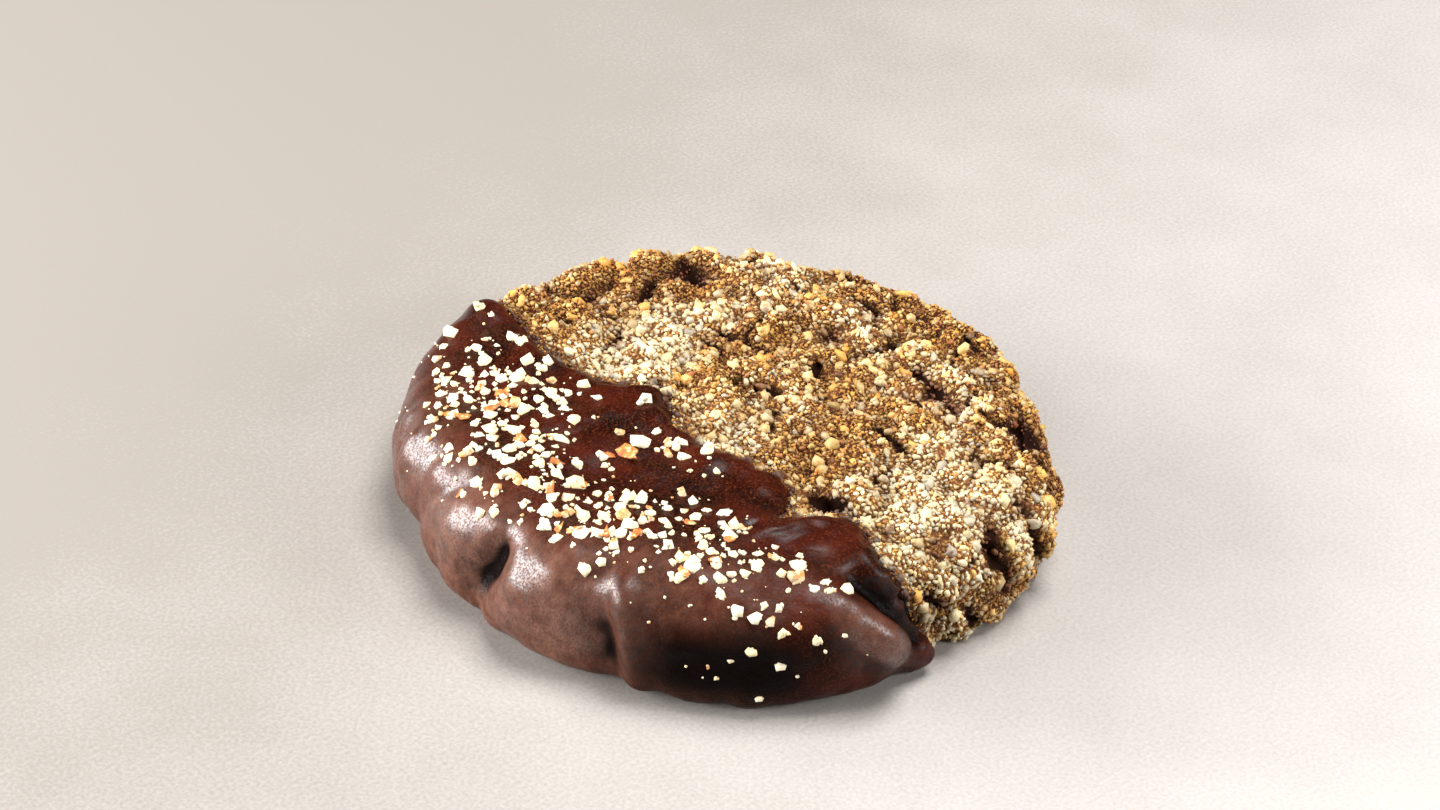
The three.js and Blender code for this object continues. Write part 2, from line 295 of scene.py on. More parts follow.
# How the core fades, in mm: beside the chocolate and above the base, where crumb can lie; in holes too
# deep for crumb; on the wall that browned; on the base; and where chocolate smeared the crumb
OPEN_EDGE, OPEN_BASE = (0.5, -0.3), (0.2, 0.8)
GAP_HOLES = (0.8, 1.5)
BROWNED_WALL = (13, 8)
BASE_FACE = (0.3, 0.1)
SMEAR, SMEAR_REACH, SMEAR_LENGTH = (-1.3, -0.7), 0.9, 3.1

# Painted shade: how dark a winding crack and the inside of a hole are, and how much crumb deep holes lose
CRACK_DARK, HOLE_DARK, HOLE_LOSS = 0.8, 0.6, 0.8

# Depth of hole, in mm, at which its painted shade is as dark as that
DARK_DEPTH = 1.2

# How much darker painted shade makes low relief, and the height, as a share of the crags, above which it
# doesn't
RELIEF_DARK, RELIEF_LEVEL = 0.4, 0.1

# How far chocolate covers the crumb that it smeared
SMEAR_COVER = 0.95

# Share of the crags that shows through the chocolate, and least height of its inner face, in mm
CRAG_SHARE, INNER_FLOOR = 0.25, 0.3

# Rounds of averaging that find the hollows of the chocolate
CAVITY_ROUNDS = 60

# Radii, in mm, between which the base of the chocolate goes over into its wall
BASE_RIM = (28, 35)

# Bloom, also a painted highlight, on the left wall, the fold beside it and the front shoulder: angle, half
# width, strength
BLOOM_AND_HIGHLIGHT_PLACES = ((178, 28, 0.75), (197, 6, 1.0), (216, 15, 0.5))

# Strength of bloom and painted highlight on raised marks
BLOOM_AND_HIGHLIGHT_RAISED = 0.75

# Heights, in mm, between which bloom and painted highlight come up: down the wall, and on the shoulder from
# above and below
BLOOM_AND_HIGHLIGHT_BELOW = (16.4, 12.8)
SHOULDER_TOP, SHOULDER_FOOT = (16.6, 15), (9.5, 12.5)

# The painted shade low in front: its two ends in degrees, and how it comes up from above and below, in mm
FRONT_START, FRONT_END = (207, 220), (247, 236)
FRONT_BELOW, FRONT_LOW = (13.5, 8.5), (1.5, 5)

# How much of that painted shade is left at the very foot
FRONT_LEFT = 0.3

# Sheen: where that of the left wall ends, in degrees, how it comes up from the foot, and its waves, in mm
GLOSS_END = (208, 222)
GLOSS_LOW, GLOSS_LENGTH = (3, 9), 13

# Sheen on top: the least, what its patches add, and heights of the waves between which a patch comes up
TOP_SHEEN, PATCH_SHEEN, PATCH_WAVES = 0.02, 0.12, (0, 0.9)

# Sheen of the wall: what it loses in front, and what is left of it at the foot
FRONT_LOSS, FOOT_SHEEN = 0.55, 0.35

# How far up the surface faces where the wall's sheen begins and where it is full
WALL_FACING = (0.95, 0.65)

# Reach of a mark, in mm, over which bloom with its painted highlight, and sheen, come up on it
BLOOM_AND_HIGHLIGHT_MARKS, GLOSS_MARKS = (0.5, 1.4), (0.3, 1.2)

# Painted shade in creases: depth of a fold, height below which folds count, and depth of a groove, in mm
FOLD_DEPTH, FOLD_BELOW = (0.12, 0.55), (16.4, 14.4)
GROOVE_DEPTH = (0.6, 2.2)

# Chunks to scatter: how many, seed of the first, corners of the main lump, side lumps in turn, stretch
CHUNK_KINDS = {
    "grain": (8, 100, 9, (0,), GROUND),
    "bit": (8, 200, 12, (1,), GROUND),
    "chunk": (16, 300, 10, (1, 2, 3), CHOPPED),
    "speck": (4, 500, 8, (0,), CHOPPED),
}

# Corners of a lump: how far each is moved aside, and how far out it lies
CORNER_SHIFT, CORNER_REACH = 0.3, (0.8, 1.1)

# Side lumps: corners, size and distance from the middle
SIDE_CORNERS, SIDE_SIZE, SIDE_PLACE = 8, (0.4, 0.65), (0.5, 0.85)

# Skin: one chunk in how many has it, and how far to one side it begins and is full
SKIN_EVERY, SKIN_EDGE = 4, (0.0, 0.5)

# Flakes to scatter: how many and seed of the first
FLAKE_COUNT, FLAKE_SEED = 5, 400

# One flake: sides, reach and uneven angle of its corners, width, thickness and wrinkles
FLAKE_SIDES, FLAKE_REACH, FLAKE_SHIFT = 9, (0.5, 1.25), 0.25
FLAKE_WIDTH, FLAKE_THICKNESS, FLAKE_WRINKLE = 0.6, 0.2, 0.05

# Seeds of the draws that node trees make: kind, size, turn and tone
KIND_SEED, SIZE_SEED, TURN_SEED, TONE_SEED = 1, 2, 3, 5

# Side of the square that gets one point of crumb, before points too near to others go, in mm
POINT_SPAN = 0.4

# How crumb lies: lift as a share of its half width, pull of pale patches, thinning in browned ones
CRUMB_INPUTS = ("Spacing", "Smallest", "Largest", "Lift", "Zone Pull", "Thinning")
GRAIN_LIE, FINE_LIE, BIT_LIE = (0.08, 0.5, 0.6), (0.1, 0.5, 0.0), (-0.2, 0.7, 0.0)

# Series of even draws, the same as in the solids: factor, step and range
DRAW_FACTOR, DRAW_STEP, DRAW_RANGE = 1664525, 1013904223, 4294967296

# Where things are dropped from: height above the floor, and distance out from the middle, in mm
DROP_HEIGHT, WALL_START = 50, 80
DOWN = (0, 0, -1)

# Small bits of nut: number for each nut, and spread and most half width beside those of the nuts
SMALL_COUNT, SMALL_SPREAD, SMALL_LARGEST = 2.2, 1.15, 1.2

# Power by which the smaller of them prevail, and share of two half widths that they keep apart
SMALL_POWER, SMALL_SPACING = 1.5, 0.7

# Light things among the nuts: how many, spread beside the nuts', half widths in mm, seed, sink
SKIN_SCATTER = (22, 0.9, (0.7, 1.2), 11, -0.3)
DUST_SCATTER = (260, 1.4, (0.12, 0.3), 12, 0.2)
FLAKE_SINK = -0.2

# How far a nut tips, in radians, and how much wider it is than its place says, for its uneven corners
NUT_TIP, NUT_SCALE = 0.35, 1.07

# Values of noise textures: the range of most of them, and its middle part
NOISE_MOST, NOISE_MIDDLE = (0.3, 0.7), (0.35, 0.65)

# Directions on the floor: across the picture and away from the camera
FLOOR_WAYS = ((0.7, -0.7, 0), (0.7, 0.7, 0))

# Half the floor's width, in metres, and how far it lies below the base, in mm
FLOOR_HALF, FLOOR_DROP = 1.5, 0.02

# Softboxes: direction to the right, to the front and up; distance, width and height in metres; watts
SOFTBOXES = {
    "key_softbox": ((-0.95, 0.1, 0.25), 0.6, (0.7, 0.28), 12.5),
    "fill_softbox": ((0.8, 0.25, 0.4), 0.7, (0.3, 0.3), 3.2),
    "overhead_softbox": ((0.2, -0.1, 1.0), 0.8, (0.4, 0.4), 10),
}

# Light of the room: its colour and strength
ROOM_COLOUR, ROOM_STRENGTH = (1, 0.98, 0.95, 1), 0.06

# Width of the camera's sensor, in mm, and the nearest that it sees, in metres
SENSOR_WIDTH, NEAREST = 36, 0.01


def srgb(red, green, blue):
    """A colour read as 0 to 255 from a screen, as Blender's linear colour."""
    shares = (red / 255, green / 255, blue / 255)
    return tuple(c / 12.92 if c <= 0.04045 else ((c + 0.055) / 1.055) ** 2.4 for c in shares)


def number(name, description, default):
    """A plain number, such as a share or a power."""
    return FloatProperty(name=name, description=description, default=default)


def whole(name, description, default):
    """A whole number, such as a count or a seed."""
    return IntProperty(name=name, description=description, default=default)


def length(name, description, default):
    """A size in metres, its default given in mm."""
    return FloatProperty(
        name=name, description=description, default=default * MM, unit="LENGTH", precision=5
    )


def rotation(name, description, default):
    """An angle in radians, its default given in degrees."""
    return FloatProperty(
        name=name, description=description, default=math.radians(default), subtype="ANGLE"
    )


def colour(name, description, default):
    """A surface colour."""
    return FloatVectorProperty(
        name=name, description=description, default=default, subtype="COLOR", size=3, min=0, max=1
    )


class BiscuitSettings(bpy.types.PropertyGroup):
    """Form and finish of the biscuit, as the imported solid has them."""

    radius: length("Radius", "Half the biscuit's width", 39.3)
    thickness: length("Thickness", "Height of the biscuit's top", 15.2)
    widest: length("Widest", "Height at which the wall is widest", 6.4)
    shoulder: length("Shoulder", "How far in from the rim the top begins to round over", 6.2)
    shoulder_ease: length("Shoulder Ease", "More of that at the dipped end, less at the bare end", 1.4)
    tuck: length("Tuck", "How far the wall draws in down to the base", 3)
    edge_power: number("Edge Power", "Roundness of shoulder and foot", 2.3)
    swell: length("Swell", "Slow rise and fall of the top", 0.5)
    bare_rise: length("Bare Rise", "How much thicker the bare end is", 0.5)
    crag: length("Crag", "Height of the crags of ground nut", 0.9)
    crag_start: length("Crag Start", "Bare strip left smooth beside the chocolate", 1)
    crag_fade: length("Crag Fade", "Width over which the crags then come up", 1.5)
    base_edge: length("Base Edge", "Height over which the crags come up from the base", 2)
    grit: length("Grit", "Height of the fine relief between the grains", 0.35)
    grit_size: length("Grit Size", "Width of one grain of that relief", 1.1)
    crack: length("Crack", "Depth of the cracks between the crags", 1.1)
    fineness: whole("Fineness", "Divisions of the core's mesh", 92)
    binder: colour("Binder", "Baked binder between the grains", srgb(60, 24, 9))
    dough: colour("Dough", "Paler dough between the grains", srgb(108, 66, 42))
    # Painted shade in cracks, holes and low relief
    crevice_shade: colour("Crevice", "Dark of cracks and holes", srgb(30, 11, 4))


class CrumbSettings(bpy.types.PropertyGroup):
    """Grains of ground nut on the bare biscuit."""

    spacing: length("Spacing", "Least distance between two grains", 0.55)
    smallest: length("Smallest", "Half width of the smallest grains", 0.29)
    largest: length("Largest", "Half width of the largest grains", 0.52)
    fine_spacing: length("Fine Spacing", "Least distance between two grains of the finest crumb", 0.45)
    fine_smallest: length("Finest", "Half width of the finest crumb", 0.15)
    bit_spacing: length("Bit Spacing", "Least distance between two larger bits", 1.7)
    bit_smallest: length("Smallest Bit", "Half width of the smallest larger bits", 0.4)
    bit_largest: length("Largest Bit", "Half width of the largest larger bits", 1.15)
    seed: whole("Seed", "Start of the random draws", 7)
    white: colour("White", "Blanched ground nut", srgb(228, 215, 175))
    straw: colour("Straw", "Creamy ground nut", srgb(226, 202, 144))
    grey: colour("Grey", "Greyer, moister ground nut", srgb(190, 183, 162))
    toasted: colour("Toasted", "Toasted ground nut", srgb(228, 178, 94))
    brown: colour("Brown", "Well-baked ground nut", srgb(168, 112, 60))
    amber: colour("Amber", "Honey-coloured bits", srgb(240, 184, 84))
    stain: colour("Stain", "Baked binder soaked into the grains", srgb(228, 202, 142))
    # Dark moist patches and some fine crumb, and also painted shade in hollows of the crumb
    shade: colour("Shade", "Dark moist places", srgb(134, 92, 70))


class ChocolateSettings(bpy.types.PropertyGroup):
    """Form and finish of the chocolate coat."""

    coat: length("Coat", "Thickness of the chocolate", 1.3)
    level: length("Level", "What the floor takes off the chocolate under the base", 0.1)
    lip: length("Lip", "Width over which the edge of the chocolate rounds up", 1.8)
    bead: length("Bead", "Extra thickness where the chocolate gathered behind its edge", 0.35)
    bead_at: length("Bead Place", "Distance of that bead from the edge", 2.6)
    skirt: length("Skirt", "How far the chocolate dives under the crumb past its edge", 1.2)
    underlap: length("Underlap", "How deep its inner face lies in the biscuit", 0.5)
    dip_line: length("Dip Line", "Where the edge of the chocolate crosses the top, in x", -8.2)
    dip_lean: number("Dip Lean", "How far that edge runs to +X per length down", 0.45)
    fineness: whole("Fineness", "Divisions of the coat's mesh", 104)
    dark: colour("Dark", "Deeper chocolate", srgb(18, 3, 1))
    warm: colour("Warm", "Redder chocolate", srgb(62, 18, 8))
    speck: colour("Speck", "Fine lighter specks", srgb(108, 54, 28))
    # Bloom, and also a painted highlight where the wall catches the light
    bloom_and_highlight: colour("Bloom", "Greyer chocolate where the surface has bloomed", srgb(105, 69, 55))
    # Painted shade in creases, grooves and low on the wall in front
    crease_shade: colour("Crease", "Chocolate in creases", srgb(8, 2, 1))


class NutSettings(bpy.types.PropertyGroup):
    """Chopped nuts strewn on the chocolate."""

    first: length("First", "Half width of the first nut of a patch", 1.25)
    last: length("Last", "Half width of the last nut of a patch", 0.7)
    smallest: length("Smallest", "Half width of the smallest bits", 0.35)
    sink: number("Sink", "Share of its half width that a nut sits in", 0.25)
    clear: length("Clear", "Least distance from a nut to the edge of the chocolate", 2.4)
    spacing: number("Spacing", "Share of two half widths that nuts keep apart", 0.75)
    rim: length("Rim", "How far out a nut lies on top", 37.6)
    seed: whole("Seed", "Start of the random draws", 20261)
    flesh: colour("Flesh", "Blanched nut", srgb(242, 231, 203))
    toasted: colour("Toasted", "Slightly toasted nut", srgb(240, 219, 170))
    skin: colour("Skin", "Golden skin on some sides", srgb(204, 132, 60))
    flake: colour("Flake", "Loose flakes of skin", srgb(176, 92, 40))


class StageSettings(bpy.types.PropertyGroup):
    """Camera, lights and floor."""

    distance: length("Camera Distance", "From the camera to the base's middle", 450)
    elevation: rotation("Elevation", "Camera's height angle", 35.5)
    azimuth: rotation("Azimuth", "Camera's place round the cookie", -45)
    roll: rotation("Roll", "Camera's turn about its line of sight", 5)
    lens: number("Lens", "Focal length in mm", 90.8)
    aim_right: length("Aim Right", "Aim point right of the base's middle", -0.2)
    aim_up: length("Aim Up", "Aim point above the base's middle, in the picture", 12.85)
    floor: colour("Floor", "Plain pale floor", srgb(219, 214, 210))
    # Also the painted shade, darker to the left and to the far side
    floor_shade: colour("Floor Shade", "Slightly darker mottling of the floor", srgb(140, 133, 126))


class CookieSettings(bpy.types.PropertyGroup):
    """All settings of the cookie."""

    biscuit: PointerProperty(type=BiscuitSettings)
    crumb: PointerProperty(type=CrumbSettings)
    chocolate: PointerProperty(type=ChocolateSettings)
    nuts: PointerProperty(type=NutSettings)
    stage: PointerProperty(type=StageSettings)


# Form of the cookie


def smoothstep(low, high, value):
    """Zero at one value, one at another, and a smooth rise between."""
    t = np.clip((value - low) / (high - low), 0, 1)
    return t * t * (3 - 2 * t)


def fade(ends, values):
    """A smooth rise from zero to one between two lengths given in mm, for values in metres."""
    low, high = ends
    return smoothstep(low * MM, high * MM, values)


def bell(distance, width):
    """A bell curve, one in its middle."""
    return np.exp(-0.5 * (distance / width) ** 2)


def turn(start, end):
    """The shorter way from one direction to another, in degrees."""
    return (end - start + 180) % 360 - 180


def facing(points):
    """The direction in which each point lies from the cookie's middle, in degrees."""
    return np.degrees(np.arctan2(points[:, 1], points[:, 0])) % 360


def even_directions(count):
    """Unit directions spread evenly along a golden spiral."""
    turns = np.arange(count)
    height = 1 - (2 * turns + 1) / count
    flat = np.sqrt(1 - height * height)
    return np.stack((flat * np.cos(GOLDEN * turns), flat * np.sin(GOLDEN * turns), height), 1)


def waves(points, spacing):
    """Waves in spread-out directions, summed to between about -1 and 1."""
    total = np.zeros(len(points))
    for k, direction in enumerate(even_directions(WAVE_COUNT)):
        total += np.sin(2 * math.pi * (points @ direction) / spacing + GOLDEN * k * k)
    return total / math.sqrt(WAVE_COUNT)


def summed_waves(points, parts):
    """Waves of several lengths, each given as its share and its length in mm."""
    return sum(share * waves(points, spacing * MM) for share, spacing in parts)


def crags(points):
    """Lumps with creases between them, from about -1 to 1."""
    coarse, middle, fine = (waves(points, spacing * MM) for spacing in CRAG_LENGTHS)
    return np.tanh(np.abs(coarse) + CRAG_MIDDLE * np.abs(middle) + CRAG_FINE * fine - CRAG_LEVEL)


def dip_depth(points, cookie):
    """Distance inside the edge of the chocolate, below zero on the bare biscuit."""
    down = np.maximum(cookie.biscuit.thickness - points[:, 2], 0)
    edge = cookie.chocolate.dip_line + cookie.chocolate.dip_lean * down
    slope = np.zeros(len(points))
    for y, reach, width in np.array(DIP_LOBES) * MM:
        lobe = reach * bell(points[:, 1] - y, width)
        edge = edge + lobe
        slope -= lobe * (points[:, 1] - y) / width ** 2
    return (edge - points[:, 0]) / np.hypot(1, slope)


def outline_radius(degrees, cookie):
    """Radius of the outline in each direction, with its press marks."""
    radius = np.full(len(degrees), cookie.biscuit.radius)
    for angle, reach, width in PRESS_MARKS:
        radius += reach * MM * bell(turn(angle, degrees), width)
    return radius


def fold_reach(degrees, height, cookie):
    """How far the folds of the wall stand out or in, in metres."""
    down = (cookie.biscuit.thickness - height) / MM
    total = np.zeros(len(degrees))
    for angle, lean, reach, width in FOLDS:
        total += reach * MM * bell(turn(angle + lean * down, degrees), width)
    return total


def form_points(directions, cookie):
    """Points of the smooth cookie for directions on the unit sphere."""
    biscuit, chocolate = cookie.biscuit, cookie.chocolate
    angle = np.arctan2(directions[:, 1], directions[:, 0])
    degrees = np.degrees(angle)
    polar = np.degrees(np.arccos(np.clip(directions[:, 2], -1, 1)))
    rim = outline_radius(degrees, cookie)
    shoulder = biscuit.shoulder - biscuit.shoulder_ease * np.cos(angle)
    flat, foot = rim - shoulder, rim - biscuit.tuck
    power = 2 / biscuit.edge_power
    up = np.radians(np.clip((polar - TOP_END) / (SHOULDER_END - TOP_END), 0, 1) * 90)
    low = np.radians(np.clip((polar - SHOULDER_END) / (FOOT_END - SHOULDER_END), 0, 1) * 90)
    zones = (polar < TOP_END, polar < SHOULDER_END, polar < FOOT_END)
    outward = np.sin(np.radians(polar) / 2) / math.sin(math.radians(TOP_END) / 2)
    inward = np.sin(np.radians(180 - polar) / 2) / math.sin(math.radians(180 - FOOT_END) / 2)
    radii = (
        flat * outward,
        flat + shoulder * np.sin(up) ** power,
        foot + biscuit.tuck * np.abs(np.cos(low)) ** power,
    )
    heights = (
        biscuit.thickness,
        biscuit.widest + (biscuit.thickness - biscuit.widest) * np.abs(np.cos(up)) ** power,
        biscuit.widest * (1 - np.sin(low) ** power),
    )
    radius = np.select(zones, radii, foot * inward)
    height = np.select(zones, heights, 0.0)
    on_wall = np.select(zones, (0.0, np.sin(up), 1.0), inward)
    radius = radius + fold_reach(degrees, height, cookie) * on_wall
    points = np.stack((radius * np.cos(angle), radius * np.sin(angle), np.zeros(len(angle))), 1)
    rise = smoothstep(biscuit.widest, biscuit.thickness, height)
    swell = biscuit.swell * summed_waves(points, TOP_SWELL)
    height = height + rise * (swell + biscuit.bare_rise * points[:, 0] / biscuit.radius)
    # The dipped side of the base is raised, so that the chocolate under it ends at the floor
    inside = smoothstep(0, 2 * chocolate.lip, dip_depth(points, cookie))
    raised = (chocolate.coat - chocolate.level) * inside
    points[:, 2] = height + raised * np.maximum(biscuit.widest - height, 0) / biscuit.widest
    return points


def keep_above(points, height=0):
    """The same points, held at a height or above it."""
    points[:, 2] = np.maximum(points[:, 2], height)
    return points


def moulded(directions, faces, cookie):
    """The form with the marks in its chocolate: its points, the way it faces and the mark at each."""
    points = form_points(directions, cookie)
    normals = vertex_normals(points, faces)
    marks = line_marks(points, COAT_MARKS)
    return keep_above(points + normals * marks[:, None]), normals, marks


def geodesic(divisions):
    """Unit directions and triangles of an evenly divided icosahedron."""
    ball = bmesh.new()
    bmesh.ops.create_icosphere(ball, subdivisions=1, radius=1)
    corners = [np.array([v.co for v in face.verts]) for face in ball.faces]
    ball.free()
    steps = [(i, j) for i in range(divisions + 1) for j in range(divisions + 1 - i)]
    place = {step: k for k, step in enumerate(steps)}
    shares = np.array([(i, j, divisions - i - j) for i, j in steps]) / divisions
    small = []
    for i, j in steps:
        if i + j < divisions:
            small.append((place[i, j], place[i + 1, j], place[i, j + 1]))
        if i + j < divisions - 1:
            small.append((place[i + 1, j], place[i + 1, j + 1], place[i, j + 1]))
    points = np.concatenate([shares @ corner for corner in corners])
    points /= np.linalg.norm(points, axis=1)[:, None]
    faces = np.concatenate([np.array(small) + k * len(steps) for k in range(len(corners))])
    # Points along the sides of the icosahedron's faces come twice or more, and are made one
    _, first, merged = np.unique(np.round(points, 6), axis=0, return_index=True, return_inverse=True)
    points, faces = points[first], merged.ravel()[faces]
    outward = np.einsum("ij,ij->i", face_normals(points, faces), points[faces[:, 0]])
    faces[outward < 0] = faces[outward < 0][:, ::-1]
    return points, faces


def face_normals(points, faces):
    """The way each triangle faces, as long as twice its area."""
    a, b, c = (points[faces[:, k]] for k in range(3))
    return np.cross(b - a, c - a)


def face_sides(faces):
    """The sides of all triangles, as pairs of points."""
    return np.concatenate((faces[:, (0, 1)], faces[:, (1, 2)], faces[:, (2, 0)]))


def vertex_normals(points, faces):
    """The way the surface faces at each point."""
    across = face_normals(points, faces)
    normals = np.zeros((len(points), 3))
    for axis in range(3):
        for corner in range(3):
            normals[:, axis] += np.bincount(faces[:, corner], across[:, axis], len(points))
    return normals / np.maximum(np.linalg.norm(normals, axis=1), 1e-20)[:, None]


def cavity(points, normals, faces, rounds):
    """How far the surface lies below its own average around each point: above zero in hollows."""
    sides = face_sides(faces)
    count = np.maximum(np.bincount(sides[:, 0], minlength=len(points)), 1)
    average = points
    for _ in range(rounds):
        around = [np.bincount(sides[:, 0], average[sides[:, 1], axis], len(points)) for axis in range(3)]
        average = (average + np.stack(around, 1) / count[:, None]) / 2
    return np.einsum("ij,ij->i", average - points, normals)


# Meshes and objects


def new_mesh(name, points, faces, attributes=None, smooth=True):
    """A mesh with named values on its points."""
    mesh = bpy.data.meshes.new(name)
    mesh.from_pydata(points.tolist(), [], faces.tolist())
    for key, values in (attributes or {}).items():
        kind, field = ("FLOAT_VECTOR", "vector") if np.ndim(values) == 2 else ("FLOAT", "value")
        layer = mesh.attributes.new(key, kind, "POINT")
        layer.data.foreach_set(field, np.asarray(values, np.float32).ravel())
    mesh.polygons.foreach_set("use_smooth", [smooth] * len(mesh.polygons))
    mesh.update()
    return mesh


def new_object(name, points, faces, attributes=None, smooth=True):
    """A mesh object in the scene, with the cookie's middle taken to the origin."""
    mesh = new_mesh(name, points - np.array(MIDDLE) * MM, faces, attributes, smooth)
    made = bpy.data.objects.new(name, mesh)
    bpy.context.scene.collection.objects.link(made)
    return made


def bare_share(points, cookie):
    """One on the bare biscuit, zero on its base and under the chocolate."""
    biscuit = cookie.biscuit
    end = biscuit.crag_start + biscuit.crag_fade
    beside = smoothstep(biscuit.crag_start, end, -dip_depth(points, cookie))
    return beside * smoothstep(0, biscuit.base_edge, points[:, 2])


def hole_depth(points):
    """Depth of the named holes at each point, in metres."""
    total = np.zeros(len(points))
    for x, y, z, width, depth in np.array(HOLES) * MM:
        total += depth * bell(np.linalg.norm(points - (x, y, z), axis=1), width)
    return total


def cell_distance(points, size):
    """Distance from each point to the middle of its grain-like cell, as a share of the cell's size."""
    return np.array([noise.voronoi(Vector(point))[0][0] for point in points / size])


def line_marks(points, marks):
    """Reach of marks along lines at each point, in metres."""
    total = np.zeros(len(points))
    for start, end, width, reach in marks:
        start, along = np.array(start) * MM, (np.array(end) - np.array(start)) * MM
        share = np.clip((points - start) @ along / (along @ along), 0, 1)
        away = np.linalg.norm(points - start - share[:, None] * along, axis=1)
        total += reach * MM * bell(away, width * MM)
    return total


def crack_share(points):
    """One along short winding cracks, zero elsewhere."""
    line = bell(waves(points, CRACK_LENGTH * MM), CRACK_WIDTH)
    patches = waves(points + CRACK_OFFSET * MM, CRACK_PATCH_LENGTH * MM)
    return line * smoothstep(*CRACK_PATCHES, patches)


def crumb_zone(points):
    """Share of pale crumb: about one half, more in pale patches and less in browned ones."""
    zone = ZONE_MEAN + ZONE_WAVES * waves(points, ZONE_LENGTH * MM)
    zone = zone - ZONE_BROWNING * fade(BROWNED_WALL, points[:, 2])
    for x, y, wide, deep, strength in CRUMB_ZONES:
        zone = zone + strength * bell(points[:, 0] / MM - x, wide) * bell(points[:, 1] / MM - y, deep)
    return np.clip(zone, 0, 1)


# Shader and geometry node helpers


def add_node(tree, kind, inputs=None, **settings):
    """A node with its settings, and its inputs given as values or as sockets to link."""
    made = tree.nodes.new(kind)
    for key, value in settings.items():
        setattr(made, key, value)
    for key, value in (inputs or {}).items():
        if isinstance(value, bpy.types.NodeSocket):
            tree.links.new(value, made.inputs[key])
        else:
            made.inputs[key].default_value = value
    return made


def maths(tree, operation, *values, clamp=False):
    """A sum, product or the like of some values, held between 0 and 1 if so asked."""
    inputs = dict(enumerate(values))
    return add_node(tree, "ShaderNodeMath", inputs, operation=operation, use_clamp=clamp).outputs[0]


def combine(tree, operation, *values):
    """A sum, product or the like of some values, held between 0 and 1."""
    return maths(tree, operation, *values, clamp=True)


def solid(value):
    """A colour with full cover. A socket stays as it is."""
    return value if isinstance(value, bpy.types.NodeSocket) else (*value, 1.0)


def mix_colours(tree, share, first, second, blend="MIX"):
    """A colour between two colours, each a colour or a socket."""
    inputs = {0: share, 6: solid(first), 7: solid(second)}
    return add_node(tree, "ShaderNodeMix", inputs, data_type="RGBA", blend_type=blend).outputs[2]


def tint(tree, share, first, second):
    """A colour dyed by a second colour, as far as the share says."""
    return mix_colours(tree, share, first, second, "MULTIPLY")


def spread(tree, value, low, high, to_low=0.0, to_high=1.0):
    """A value stretched from one range onto another, and held inside it."""
    inputs = {"Value": value, "From Min": low, "From Max": high, "To Min": to_low, "To Max": to_high}
    return add_node(tree, "ShaderNodeMapRange", inputs).outputs["Result"]


def group_input(group, name, kind, default=None):
    """A named input of a node group."""
    socket = group.interface.new_socket(name, in_out="INPUT", socket_type=kind)
    if default is not None:
        socket.default_value = default


def speckle_group():
    """Two sizes of grain on a surface: a mask that mottles it and a height that roughens it."""
    found = bpy.data.node_groups.get("Speckle")
    if found:
        return found
    group = bpy.data.node_groups.new("Speckle", "ShaderNodeTree")
    for name, default in (("Mottle Size", 2 * MM), ("Grain Size", 0.4 * MM)):
        group_input(group, name, "NodeSocketFloat", default)
    for name in ("Mottle", "Grain"):
        group.interface.new_socket(name, in_out="OUTPUT", socket_type="NodeSocketFloat")
    given = group.nodes.new("NodeGroupInput").outputs
    place = add_node(group, "ShaderNodeTexCoord").outputs["Object"]
    out = group.nodes.new("NodeGroupOutput")
    for name in ("Mottle", "Grain"):
        scale = maths(group, "DIVIDE", 1.0, given[name + " Size"])
        inputs = {"Vector": place, "Scale": scale, "Detail": 3.0, "Roughness": 0.6}
        texture = add_node(group, "ShaderNodeTexNoise", inputs)
        group.links.new(texture.outputs["Fac"], out.inputs[name])
    return group


def speckle(tree, mottle_size, grain_size):
    """The mottle and the grain of a surface, their sizes given in mm."""
    sizes = {"Mottle Size": mottle_size * MM, "Grain Size": grain_size * MM}
    made = add_node(tree, "ShaderNodeGroup", sizes, node_tree=speckle_group())
    return made.outputs["Mottle"], made.outputs["Grain"]


def new_material(name):
    """A material with its shader: returns the material, its node tree and the shader."""
    material = bpy.data.materials.new(name)
    material.use_nodes = True
    return material, material.node_tree, material.node_tree.nodes["Principled BSDF"]


def attribute(tree, name):
    """A named value on the points of the mesh."""
    return add_node(tree, "ShaderNodeAttribute", attribute_name=name).outputs["Fac"]


def feed(tree, shader, base, texture, smoothest, roughest):
    """Gives a shader its colour, and a roughness that goes with a texture."""
    tree.links.new(base, shader.inputs["Base Color"])
    roughness = spread(tree, texture, *NOISE_MOST, smoothest, roughest)
    tree.links.new(roughness, shader.inputs["Roughness"])


def roughen(tree, shader, height, distance):
    """Roughens a surface by a height, its reach given in mm."""
    bump = add_node(tree, "ShaderNodeBump", {"Height": height, "Distance": distance * MM})
    tree.links.new(bump.outputs["Normal"], shader.inputs["Normal"])


# Materials


